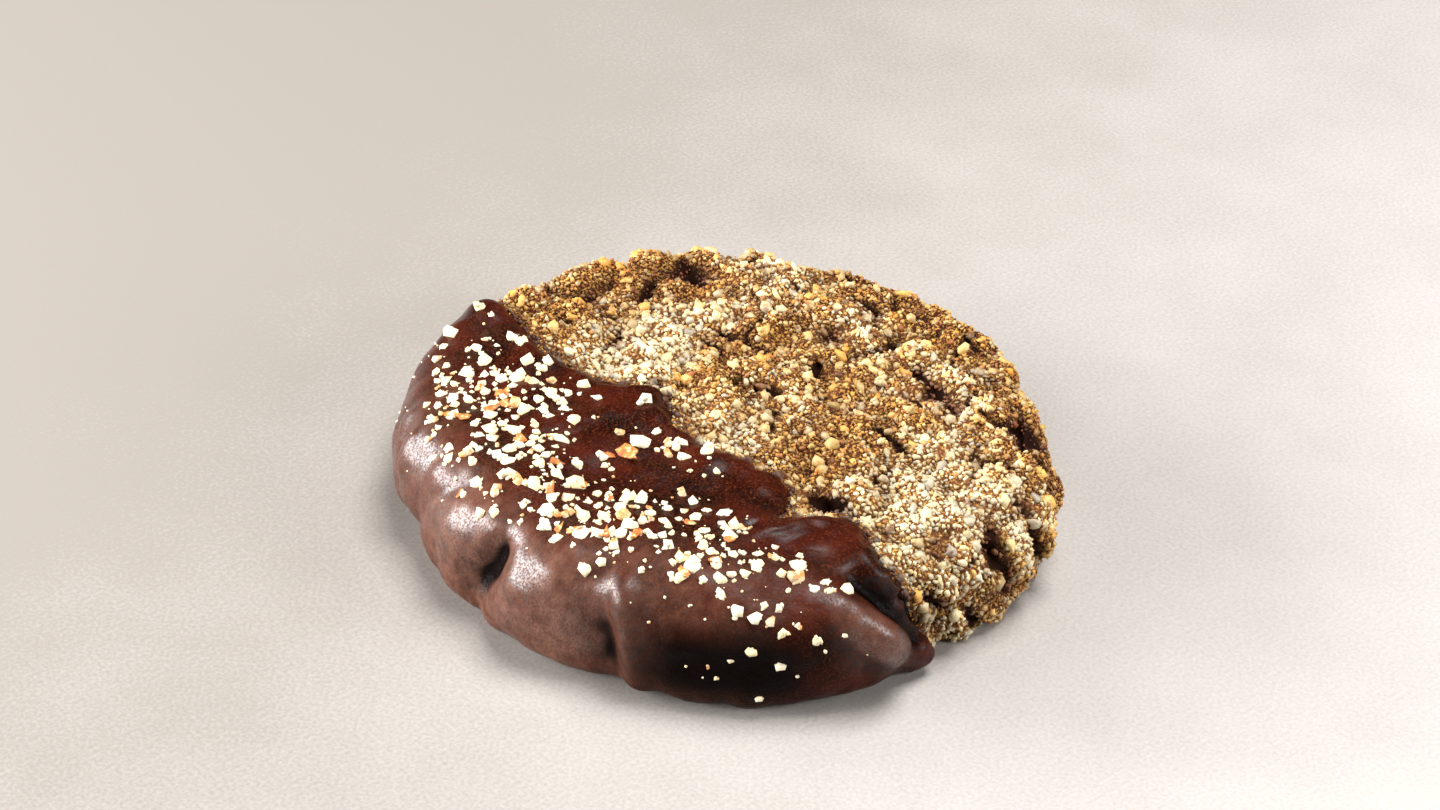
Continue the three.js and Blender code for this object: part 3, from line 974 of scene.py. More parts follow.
def binder_material(cookie):
    """Baked binder of the biscuit's core, with painted shade in cracks and holes, and pressed grains in its
    base.
    """
    material, tree, shader = new_material("baked_binder")
    biscuit, crumb = cookie.biscuit, cookie.crumb
    mottle, grain = speckle(tree, 2.2, 0.35)
    zone = combine(tree, "ADD", attribute(tree, "zone"), spread(tree, mottle, *NOISE_MIDDLE, -0.4, 0.4))
    bed = mix_colours(tree, zone, biscuit.binder, biscuit.dough)
    lit = mix_colours(tree, spread(tree, grain, 0.5, 0.7), bed, crumb.toasted)
    # Painted shade in hollows, cracks and low relief darkens the binder
    deep = mix_colours(tree, attribute(tree, "shaded_hollow"), lit, biscuit.crevice_shade)
    place = add_node(tree, "ShaderNodeTexCoord").outputs["Object"]
    grains = add_node(tree, "ShaderNodeTexVoronoi", {"Vector": place, "Scale": 1 / (1.1 * MM)})
    baking, _ = speckle(tree, 14, 1)
    tones = mix_colours(tree, spread(tree, mottle, *NOISE_MIDDLE), crumb.brown, crumb.toasted)
    between = spread(tree, grains.outputs["Distance"], 0.2, 0.8)
    packed = mix_colours(tree, between, tones, biscuit.dough)
    pressed = mix_colours(tree, spread(tree, baking, 0.4, 0.65, 0.1, 0.7), packed, biscuit.dough)
    both = mix_colours(tree, attribute(tree, "base"), deep, pressed)
    feed(tree, shader, both, mottle, 0.65, 0.9)
    shader.inputs["Specular IOR Level"].default_value = 0.06
    roughen(tree, shader, grain, 0.15)
    return material


def crumb_material(name, cookie, tones):
    """Ground nut whose tone differs from grain to grain, stained by binder, darkened in moist patches, with
    painted shade in hollows.
    """
    material, tree, shader = new_material(name)
    crumb = cookie.crumb
    ramp = add_node(tree, "ShaderNodeValToRGB", {"Fac": attribute(tree, "tone")})
    while len(ramp.color_ramp.elements) < len(tones):
        ramp.color_ramp.elements.new(0.5)
    for k, tone in enumerate(tones):
        ramp.color_ramp.elements[k].position = k / (len(tones) - 1)
        ramp.color_ramp.elements[k].color = solid(tone)
    broad, fine = speckle(tree, 4.5, 0.5)
    shade, grain = speckle(tree, 3, 0.15)
    zone = attribute(tree, "zone")
    soaked = combine(tree, "ADD", spread(tree, broad, 0.45, 0.66), spread(tree, zone, 0, 1, 0.5, -0.5))
    stained = tint(tree, soaked, ramp.outputs["Color"], crumb.stain)
    # Darker in moist patches, and painted shade in the hollows
    moist_and_shaded = combine(tree, "ADD", spread(tree, shade, 0.55, 0.72), attribute(tree, "shaded_hollow"))
    shaded = tint(tree, moist_and_shaded, stained, crumb.shade)
    toasting = combine(tree, "MULTIPLY", spread(tree, fine, 0.5, 0.7), spread(tree, zone, 0, 1, 1, 0.2))
    patched = tint(tree, toasting, shaded, crumb.toasted)
    coated = mix_colours(tree, attribute(tree, "coated"), patched, cookie.chocolate.warm)
    feed(tree, shader, coated, fine, 0.45, 0.65)
    roughen(tree, shader, grain, 0.03)
    return material


def chocolate_material(cookie):
    """Dark chocolate with fine specks, bloom and painted highlight on the wall, satin but for its creases
    and front foot, which have painted shade.
    """
    material, tree, shader = new_material("dark_chocolate")
    chocolate = cookie.chocolate
    mottle, grain = speckle(tree, 6, 0.28)
    patches, fine = speckle(tree, 4, 1.6)
    warm = mix_colours(tree, spread(tree, mottle, 0.35, 0.7), chocolate.dark, chocolate.warm)
    specks = mix_colours(tree, spread(tree, grain, 0.52, 0.68, 0, 0.55), warm, chocolate.speck)
    clouds = spread(tree, fine, *NOISE_MIDDLE, 0.45, 1.15)
    # Bloom, and with it a painted highlight on the lit wall
    bloomed_and_highlighted = mix_colours(
        tree, combine(tree, "MULTIPLY", attribute(tree, "bloom_and_highlight"), clouds), specks, chocolate.bloom_and_highlight
    )
    # Painted shade in creases and low in front
    crease_shaded = mix_colours(tree, attribute(tree, "crease_shade"), bloomed_and_highlighted, chocolate.crease_shade)
    feed(tree, shader, crease_shaded, grain, 0.24, 0.38)
    uneven = spread(tree, patches, *NOISE_MIDDLE, 0.65, 1.0)
    patchy = combine(tree, "MULTIPLY", attribute(tree, "gloss"), uneven)
    pitted = combine(tree, "MULTIPLY", patchy, spread(tree, grain, 0.42, 0.6, 1.0, 0.15))
    tree.links.new(pitted, shader.inputs["Coat Weight"])
    shader.inputs["Coat Roughness"].default_value = 0.33
    shader.inputs["Coat IOR"].default_value = 1.65
    shader.inputs["Specular IOR Level"].default_value = 0.05
    roughen(tree, shader, maths(tree, "MULTIPLY_ADD", fine, 3.0, grain), 0.08)
    return material


def nut_material(cookie):
    """Blanched chopped nut, with golden skin left on some sides."""
    material, tree, shader = new_material("chopped_nut")
    nuts = cookie.nuts
    mottle, grain = speckle(tree, 0.9, 0.2)
    flesh = mix_colours(tree, attribute(tree, "tone"), nuts.flesh, nuts.toasted)
    torn = spread(tree, mottle, *NOISE_MOST, 0.3, 1.3)
    skin = combine(tree, "MULTIPLY", attribute(tree, "skin"), torn)
    feed(tree, shader, mix_colours(tree, skin, flesh, nuts.skin), grain, 0.5, 0.68)
    roughen(tree, shader, grain, 0.06)
    return material


def flake_material(cookie):
    """Thin flakes of roasted nut skin."""
    material, tree, shader = new_material("skin_flake")
    nuts = cookie.nuts
    mottle, grain = speckle(tree, 0.8, 0.15)
    tone = mix_colours(tree, spread(tree, mottle, 0.4, 0.55), nuts.flake, nuts.skin)
    cream = mix_colours(tree, spread(tree, mottle, 0.55, 0.65, 0, 0.8), tone, nuts.toasted)
    feed(tree, shader, cream, grain, 0.5, 0.7)
    roughen(tree, shader, grain, 0.04)
    return material


def floor_material(cookie):
    """Plain pale floor with a faint mottling, and painted shade that leaves it paler to the front and right
    as the camera sees it.
    """
    material, tree, shader = new_material("pale_floor")
    mottle, grain = speckle(tree, 30, 0.5)
    place = add_node(tree, "ShaderNodeTexCoord").outputs["Object"]
    across, away = (
        add_node(tree, "ShaderNodeVectorMath", {0: place, 1: way}, operation="DOT_PRODUCT").outputs["Value"]
        for way in FLOOR_WAYS
    )
    # Painted shade: darker to the left and away from the camera
    left, far = spread(tree, across, -0.2, 0.2, 1.0, 0.0), spread(tree, away, -0.1, 0.25, 0, 0.4)
    clouds = spread(tree, mottle, *NOISE_MOST, -0.05, 0.05)
    shaded = maths(tree, "ADD", clouds, maths(tree, "ADD", left, far))
    share = combine(tree, "MULTIPLY_ADD", grain, 0.45, shaded)
    tone = mix_colours(tree, share, cookie.stage.floor, cookie.stage.floor_shade)
    feed(tree, shader, tone, grain, 0.75, 0.9)
    return material


# Pieces that are repeated


def lump(draw, corners, stretch):
    """Corners and triangles of an angular lump: the hull of uneven corners about one unit out."""
    ways = even_directions(corners)
    ways += draw.uniform(-CORNER_SHIFT, CORNER_SHIFT, ways.shape)
    ways /= np.linalg.norm(ways, axis=1)[:, None]
    hull = bmesh.new()
    for point in ways * draw.uniform(*CORNER_REACH, (corners, 1)) * draw.uniform(*stretch, 3):
        hull.verts.new(point)
    bmesh.ops.convex_hull(hull, input=hull.verts)
    bmesh.ops.delete(hull, geom=[v for v in hull.verts if not v.link_faces], context="VERTS")
    bmesh.ops.triangulate(hull, faces=hull.faces)
    bmesh.ops.recalc_face_normals(hull, faces=hull.faces)
    hull.verts.index_update()
    points = np.array([v.co for v in hull.verts])
    faces = np.array([[v.index for v in face.verts] for face in hull.faces])
    hull.free()
    return points, faces


def chunk(name, seed, corners, side_lumps, stretch):
    """A chopped chunk: an angular lump with smaller ones grown on, some with skin on one side."""
    draw = np.random.default_rng(seed)
    points, faces = lump(draw, corners, stretch)
    for _ in range(side_lumps):
        side, more = lump(draw, SIDE_CORNERS, stretch)
        way = draw.normal(size=3) * (1, 1, 0.5)
        side = side * draw.uniform(*SIDE_SIZE)
        side = side + way / np.linalg.norm(way) * draw.uniform(*SIDE_PLACE)
        faces = np.concatenate((faces, more + len(points)))
        points = np.concatenate((points, side))
    way = draw.normal(size=3)
    skin = smoothstep(*SKIN_EDGE, points @ way / np.linalg.norm(way)) * (seed % SKIN_EVERY == 0)
    return bpy.data.objects.new(name, new_mesh(name, points, faces, {"skin": skin}))


def flake(name, seed):
    """A thin bent flake about one unit across."""
    draw = np.random.default_rng(seed)
    sides = FLAKE_SIDES
    angles = np.linspace(0, 2 * math.pi, sides, endpoint=False)
    angles = angles + draw.uniform(-FLAKE_SHIFT, FLAKE_SHIFT, sides)
    reach = draw.uniform(*FLAKE_REACH, sides)
    rim = np.stack((reach * np.cos(angles), FLAKE_WIDTH * reach * np.sin(angles), np.zeros(sides)), 1)
    high = np.concatenate((rim, rim * 0.5, np.zeros((1, 3))))
    bend = 0.2 * high[:, 0] ** 2 - 0.3 * high[:, 0] * high[:, 1]
    high[:, 2] = bend + draw.normal(0, FLAKE_WRINKLE, len(high))
    low = high - np.array((0, 0, FLAKE_THICKNESS))
    count, middle = len(high), 2 * sides
    faces = []
    for k in range(sides):
        n = (k + 1) % sides
        faces += [(k, n, sides + n), (k, sides + n, sides + k), (sides + k, sides + n, middle)]
        faces += [tuple(count + v for v in reversed(face)) for face in faces[-3:]]
        faces += [(n, k, count + k), (n, count + k, count + n)]
    return bpy.data.objects.new(name, new_mesh(name, np.concatenate((high, low)), np.array(faces)))


def shapes(name, makers):
    """A collection of shapes to scatter, kept out of the scene."""
    collection = bpy.data.collections.new(name)
    for made in makers:
        collection.objects.link(made)
    return collection


def chunks(kind):
    """A collection of all chunks of a kind."""
    count, seed, corners, lumps, stretch = CHUNK_KINDS[kind]
    made = [chunk(f"{kind}_{k}", seed + k, corners, lumps[k % len(lumps)], stretch) for k in range(count)]
    return shapes(kind + "s", made)


def discard(*collections):
    """Removes scattered shapes once their copies are real mesh."""
    for collection in collections:
        for made in list(collection.objects):
            mesh = made.data
            bpy.data.objects.remove(made)
            bpy.data.meshes.remove(mesh)
        bpy.data.collections.remove(collection)


def random_float(tree, low, high, seed):
    """A random number between two, for each point or copy."""
    inputs = {2: low, 3: high, 8: seed}
    return add_node(tree, "FunctionNodeRandomValue", inputs, data_type="FLOAT").outputs[1]


def random_turn(tree, seed):
    """A random turn about all three axes, for each point."""
    inputs = {1: (2 * math.pi,) * 3, 8: seed}
    return add_node(tree, "FunctionNodeRandomValue", inputs, data_type="FLOAT_VECTOR").outputs[0]


def carried(tree, name, kind="FLOAT"):
    """A named value that the points of the source carry."""
    return add_node(tree, "GeometryNodeInputNamedAttribute", {"Name": name}, data_type=kind).outputs[0]


def scatter_tree(name, numbers, counts=()):
    """A tree that takes a source, shapes, a material and some numbers, and what it is given."""
    tree = bpy.data.node_groups.new(name, "GeometryNodeTree")
    tree.interface.new_socket("Geometry", in_out="OUTPUT", socket_type="NodeSocketGeometry")
    group_input(tree, "Geometry", "NodeSocketGeometry")
    group_input(tree, "Shapes", "NodeSocketCollection")
    group_input(tree, "Material", "NodeSocketMaterial")
    for key, default in numbers.items():
        group_input(tree, key, "NodeSocketFloat", default)
    for key in counts:
        group_input(tree, key, "NodeSocketInt", 0)
    return tree, tree.nodes.new("NodeGroupInput").outputs


def lay_copies(tree, given, points, turns, size):
    """Lays a shape at each point, gives each copy its tone, makes all real mesh and sets their material."""
    inputs = {"Collection": given["Shapes"], "Separate Children": True, "Reset Children": True}
    chosen = add_node(tree, "GeometryNodeCollectionInfo", inputs).outputs[0]
    inputs = {"Points": points, "Instance": chosen, "Pick Instance": True, "Rotation": turns, "Scale": size}
    copies = add_node(tree, "GeometryNodeInstanceOnPoints", inputs).outputs[0]
    inputs = {"Geometry": copies, "Name": "tone", "Value": random_float(tree, 0.0, 1.0, TONE_SEED)}
    toned = add_node(tree, "GeometryNodeStoreNamedAttribute", inputs, data_type="FLOAT", domain="INSTANCE")
    real = add_node(tree, "GeometryNodeRealizeInstances", {"Geometry": toned.outputs[0]})
    inputs = {"Geometry": real.outputs[0], "Material": given["Material"]}
    dressed = add_node(tree, "GeometryNodeSetMaterial", inputs)
    out = tree.nodes.new("NodeGroupOutput")
    tree.links.new(dressed.outputs[0], out.inputs[0])


def crumb_tree():
    """Scatters one kind of grain over the bare biscuit, chosen by its share of all grains."""
    numbers = dict.fromkeys((*CRUMB_INPUTS, "From", "To"), 0.0)
    tree, given = scatter_tree("Crumb Scatter", numbers, ("Seed",))
    zone = carried(tree, "zone")
    # Grains are thinned out where the crumb has browned
    gone = maths(tree, "MULTIPLY", maths(tree, "SUBTRACT", 1.0, zone), given["Thinning"])
    cover = maths(tree, "MULTIPLY", carried(tree, "bare"), maths(tree, "SUBTRACT", 1.0, gone))
    inputs = {
        "Mesh": given["Geometry"],
        "Distance Min": given["Spacing"],
        "Density Max": 1.0 / (POINT_SPAN * MM) ** 2,
        "Density Factor": cover,
        "Seed": given["Seed"],
    }
    placed = add_node(tree, "GeometryNodeDistributePointsOnFaces", inputs, distribute_method="POISSON")
    # Points on pale patches are drawn towards the pale kind, on browned ones away from it
    pull = maths(tree, "SUBTRACT", zone, 0.5)
    pick = maths(tree, "MULTIPLY_ADD", pull, given["Zone Pull"], random_float(tree, 0.0, 1.0, KIND_SEED))
    held = add_node(tree, "ShaderNodeClamp", {"Value": pick, "Min": 0.0, "Max": 0.9999}).outputs[0]
    too_low = maths(tree, "LESS_THAN", held, given["From"])
    other = maths(tree, "ADD", too_low, maths(tree, "GREATER_THAN", held, given["To"]))
    inputs = {"Geometry": placed.outputs["Points"], "Selection": other}
    kept = add_node(tree, "GeometryNodeDeleteGeometry", inputs, domain="POINT")
    size = random_float(tree, given["Smallest"], given["Largest"], SIZE_SEED)
    inputs = {0: placed.outputs["Normal"], "Scale": maths(tree, "MULTIPLY", size, given["Lift"])}
    offset = add_node(tree, "ShaderNodeVectorMath", inputs, operation="SCALE").outputs[0]
    raised = add_node(tree, "GeometryNodeSetPosition", {"Geometry": kept.outputs[0], "Offset": offset})
    lay_copies(tree, given, raised.outputs[0], random_turn(tree, TURN_SEED), size)
    return tree


def strew_tree():
    """Copies a shape to each given point, by the size and turn that the point carries."""
    tree, given = scatter_tree("Nut Strewing", {"Size": 1.0})
    size = maths(tree, "MULTIPLY", carried(tree, "size"), given["Size"])
    lay_copies(tree, given, given["Geometry"], carried(tree, "turn", "FLOAT_VECTOR"), size)
    return tree


def grow(name, source, tree, values):
    """A plain mesh of what a node tree makes on a copy of the source, flat where it meets the floor."""
    made = bpy.data.objects.new(name, source.data.copy())
    bpy.context.scene.collection.objects.link(made)
    modifier = made.modifiers.new("grow", "NODES")
    modifier.node_group = tree
    sockets = {item.name: item.identifier for item in tree.interface.items_tree if item.in_out == "INPUT"}
    for key, value in values.items():
        modifier[sockets[key]] = value
    bpy.context.view_layer.update()
    graph = bpy.context.evaluated_depsgraph_get()
    grown = made.evaluated_get(graph)
    mesh = bpy.data.meshes.new_from_object(grown, preserve_all_data_layers=True, depsgraph=graph)
    made.modifiers.remove(modifier)
    old, made.data = made.data, mesh
    bpy.data.meshes.remove(old)
    mesh.name = name
    places = np.empty((len(mesh.vertices), 3), np.float32)
    mesh.vertices.foreach_get("co", places.ravel())
    mesh.vertices.foreach_set("co", keep_above(places).ravel())
    return made


def dress(piece, slot, *nodes):
    """Makes a piece move with the cookie, and hides the solids it stands for."""
    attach(piece, "root")
    if nodes:
        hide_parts(*nodes)
    return piece


class COOKIE_OT_biscuit(bpy.types.Operator):
    """Builds the biscuit's craggy core"""

    bl_idname = "cookie.biscuit"
    bl_label = "Biscuit"

    def execute(self, context):
        cookie = context.scene.dipped_cookie
        biscuit = cookie.biscuit
        directions, faces = geodesic(biscuit.fineness)
        smooth, normals, _ = moulded(directions, faces, cookie)
        bare, depth, height = bare_share(smooth, cookie), dip_depth(smooth, cookie), smooth[:, 2]
        open_air = fade(OPEN_EDGE, depth) * fade(OPEN_BASE, height)
        holes, deep, winding = hole_depth(smooth), line_marks(smooth, CRACKS), crack_share(smooth)
        cracks = np.clip(CRACK_DARK * winding * bare - deep / MM, 0, 1)
        grit = np.zeros(len(smooth))
        shown = open_air > 0
        grit[shown] = 0.5 - cell_distance(smooth[shown], biscuit.grit_size)
        craggy = biscuit.crag * crags(smooth) - holes + deep - biscuit.crack * winding
        relief = bare * craggy + open_air * biscuit.grit * 2 * grit
        points = keep_above(smooth + normals * relief[:, None])
        # Painted shade in holes, cracks and low relief, for the binder and the crumb
        sunk = HOLE_DARK * bare * holes / (DARK_DEPTH * MM)
        low = RELIEF_DARK * (RELIEF_LEVEL - relief / biscuit.crag)
        gaps = np.clip(cracks + HOLE_LOSS * fade(GAP_HOLES, holes), 0, 1)
        ragged = depth + SMEAR_REACH * MM * waves(smooth, SMEAR_LENGTH * MM)
        values = {
            "shaded_hollow": np.clip(sunk + cracks + low, 0, 1),
            "bare": open_air * (1 - gaps),
            "zone": crumb_zone(smooth),
            "base": fade(BASE_FACE, height),
            "coated": SMEAR_COVER * fade(SMEAR, ragged),
        }
        core = new_object("biscuit_core", points, faces, values)
        core.data.materials.append(binder_material(cookie))
        dress(core, "biscuit", "biscuit")
        return {"FINISHED"}


class COOKIE_OT_crumb(bpy.types.Operator):
    """Covers the bare biscuit with grains and larger bits of nut"""

    bl_idname = "cookie.crumb"
    bl_label = "Crumb"

    def execute(self, context):
        cookie = context.scene.dipped_cookie
        crumb = cookie.crumb
        core = bpy.data.objects["biscuit_core"]
        tree = crumb_tree()
        grains, bits = chunks("grain"), chunks("bit")
        medium = (crumb.spacing, crumb.smallest, crumb.largest, *GRAIN_LIE)
        finest = (crumb.fine_spacing, crumb.fine_smallest, crumb.smallest, *FINE_LIE)
        large = (crumb.bit_spacing, crumb.bit_smallest, crumb.bit_largest, *BIT_LIE)
        light = (crumb.white, crumb.straw, crumb.white, crumb.grey, crumb.white, crumb.grey)
        baked = (crumb.toasted, crumb.straw, crumb.brown, crumb.toasted)
        dark = (crumb.brown, crumb.shade, crumb.toasted, crumb.brown)
        honey = (crumb.amber, crumb.straw, crumb.amber)
        pale = (crumb.white, crumb.grey, crumb.white, crumb.straw)
        # Each kind takes the points whose draw falls in its range
        kinds = (
            ("crumb_toasted", grains, medium, (0.0, 0.28), baked),
            ("crumb_light", grains, medium, (0.28, 1.0), light),
            ("crumb_fine", grains, finest, (0.0, 0.75), dark),
            ("bits_amber", bits, large, (0.1, 0.25), honey),
            ("bits_pale", bits, large, (0.38, 1.0), pale),
        )
        for name, collection, sizes, (start, end), tones in kinds:
            values = dict(zip(CRUMB_INPUTS, sizes))
            values.update({"From": start, "To": end, "Seed": crumb.seed, "Shapes": collection})
            values["Material"] = crumb_material(name, cookie, tones)
            dress(grow(name, core, tree, values), "biscuit")
        discard(grains, bits)
        return {"FINISHED"}


def coat_thickness(depth, chocolate):
    """The chocolate dives under the crumb at its edge, rounds up to a bead and then lies even."""
    lip = 1 - np.clip(depth / chocolate.lip, 0, 1)
    rounded = chocolate.coat * np.sqrt(1 - lip * lip)
    dive = chocolate.underlap * smoothstep(0, -chocolate.skirt, depth)
    return rounded - dive + chocolate.bead * bell(depth - chocolate.bead_at, chocolate.lip / 2)


def coat_unevenness(points, depth, chocolate):
    """Lumps of the crumb below and slow waves, away from the edge of the chocolate."""
    total = CRAG_SHARE * crags(points) + summed_waves(points, COAT_WAVES)
    return total * MM * smoothstep(0.2 * chocolate.lip, chocolate.lip, depth)


def rim_points(faces):
    """Points along the open edge of a surface."""
    edges, count = np.unique(np.sort(face_sides(faces), 1), axis=0, return_counts=True)
    return np.unique(edges[count == 1])


def beyond_base(points):
    """Zero on the base, one from its rim outwards."""
    return fade(BASE_RIM, np.hypot(points[:, 0], points[:, 1]))


def bloom_and_highlight_share(points, marks):
    """How far the chocolate has bloomed, which also paints a highlight: most on the left wall, less on the
    front shoulder and on marks.
    """
    degrees, height, outside = facing(points), points[:, 2], beyond_base(points)
    left, fold, front = (
        strength * bell(turn(angle, degrees), width) for angle, width, strength in BLOOM_AND_HIGHLIGHT_PLACES
    )
    wall = np.maximum(left, fold) * fade(BLOOM_AND_HIGHLIGHT_BELOW, height) * outside
    shoulder = front * fade(SHOULDER_TOP, height) * fade(SHOULDER_FOOT, height) * outside
    return np.maximum(np.maximum(wall, shoulder), BLOOM_AND_HIGHLIGHT_RAISED * fade(BLOOM_AND_HIGHLIGHT_MARKS, marks))


def front_foot_shade(points):
    """Painted shade: one low on the wall in front, which lies in deep shade, and less at its very foot."""
    degrees, height = facing(points), points[:, 2]
    front = smoothstep(*FRONT_START, degrees) * smoothstep(*FRONT_END, degrees)
    band = fade(FRONT_BELOW, height) * (FRONT_LEFT + (1 - FRONT_LEFT) * fade(FRONT_LOW, height))
    return front * band * beyond_base(points)


def gloss_share(points, normals, marks):
    """How satin the chocolate is: most on the left wall, in soft patches on top, least low in front."""
    patches = TOP_SHEEN + PATCH_SHEEN * smoothstep(*PATCH_WAVES, waves(points, GLOSS_LENGTH * MM))
    left = 1 - FRONT_LOSS * smoothstep(*GLOSS_END, facing(points))
    down = FOOT_SHEEN + (1 - FOOT_SHEEN) * fade(GLOSS_LOW, points[:, 2])
    lit = np.maximum(left * down, fade(GLOSS_MARKS, marks))
    wall = smoothstep(*WALL_FACING, normals[:, 2]) * lit
    sheen = (patches + (1 - patches) * wall) * (1 - front_foot_shade(points))
    for x, y, z, width, strength in SHEENS:
        away = np.linalg.norm(points - np.array((x, y, z)) * MM, axis=1)
        sheen = sheen + strength * bell(away, width * MM)
    return np.clip(sheen, 0, 1)


def crease_shade_share(points, shaded_hollow, marks):
    """Painted shade: one deep in folds and grooves and low on the wall in front, zero on the open surface.
    """
    fold = fade(FOLD_DEPTH, shaded_hollow) * fade(FOLD_BELOW, points[:, 2])
    return np.maximum(np.maximum(fold, fade(GROOVE_DEPTH, -marks)), front_foot_shade(points))


class COOKIE_OT_chocolate(bpy.types.Operator):
    """Pours the chocolate coat over the dipped side"""

    bl_idname = "cookie.chocolate"
    bl_label = "Chocolate"

    def execute(self, context):
        cookie = context.scene.dipped_cookie
        chocolate = cookie.chocolate
        directions, faces = geodesic(chocolate.fineness)
        smooth, normals, marks = moulded(directions, faces, cookie)
        depth = dip_depth(smooth, cookie) + summed_waves(smooth, EDGE_WANDER) * MM
        covered = faces[(depth[faces] > -chocolate.skirt).all(1)]
        thickness = coat_thickness(depth, chocolate) + coat_unevenness(smooth, depth, chocolate)
        outer = keep_above(smooth + normals * thickness[:, None])
        inner = keep_above(smooth - normals * chocolate.underlap, INNER_FLOOR * MM)
        # Painted shade deep in folds and grooves and low in front, with no satin there
        crease_shade = crease_shade_share(smooth, cavity(outer, normals, faces, CAVITY_ROUNDS), marks)
        gloss = gloss_share(smooth, normals, marks) * (1 - crease_shade)
        # Bloom, which is also a painted highlight on the wall
        values = {"bloom_and_highlight": bloom_and_highlight_share(smooth, marks), "gloss": gloss, "crease_shade": crease_shade}
        coat = self.shell(outer, inner, covered, values)
        coat.data.materials.append(chocolate_material(cookie))
        dress(coat, "chocolate_coat", "chocolate_coat")
        return {"FINISHED"}

    @staticmethod
    def shell(outer, inner, faces, values):
        """A closed shell of two like surfaces that meet along their edge."""
        rim = rim_points(faces)
        flat = np.isin(faces, rim).all(1)
        # Triangles with all corners on the edge would lie flat between the surfaces, and are cut off
        while flat.any():
            faces = faces[~flat]
            rim = rim_points(faces)
            flat = np.isin(faces, rim).all(1)
        inside = np.arange(len(outer)) + len(outer)
        inside[rim] = rim
        every = np.concatenate((faces, inside[faces][:, ::-1]))
        used, merged = np.unique(every, return_inverse=True)
        points = np.concatenate((outer, inner))[used]
        values = {key: np.tile(value, 2)[used] for key, value in values.items()}
        return new_object("chocolate_shell", points, merged.reshape(every.shape), values)


def even_draws(seed):
    """The same series of even draws between 0 and 1 for the same seed as in the solids."""
    state = seed
    while True:
        state = (DRAW_FACTOR * state + DRAW_STEP) % DRAW_RANGE
        yield state / DRAW_RANGE


def apart(place, size, others, share):
    """Whether a nut keeps a share of two half widths away from each of the others."""
    return all(np.linalg.norm(other - place) > share * (width + size) for other, _, width in others)


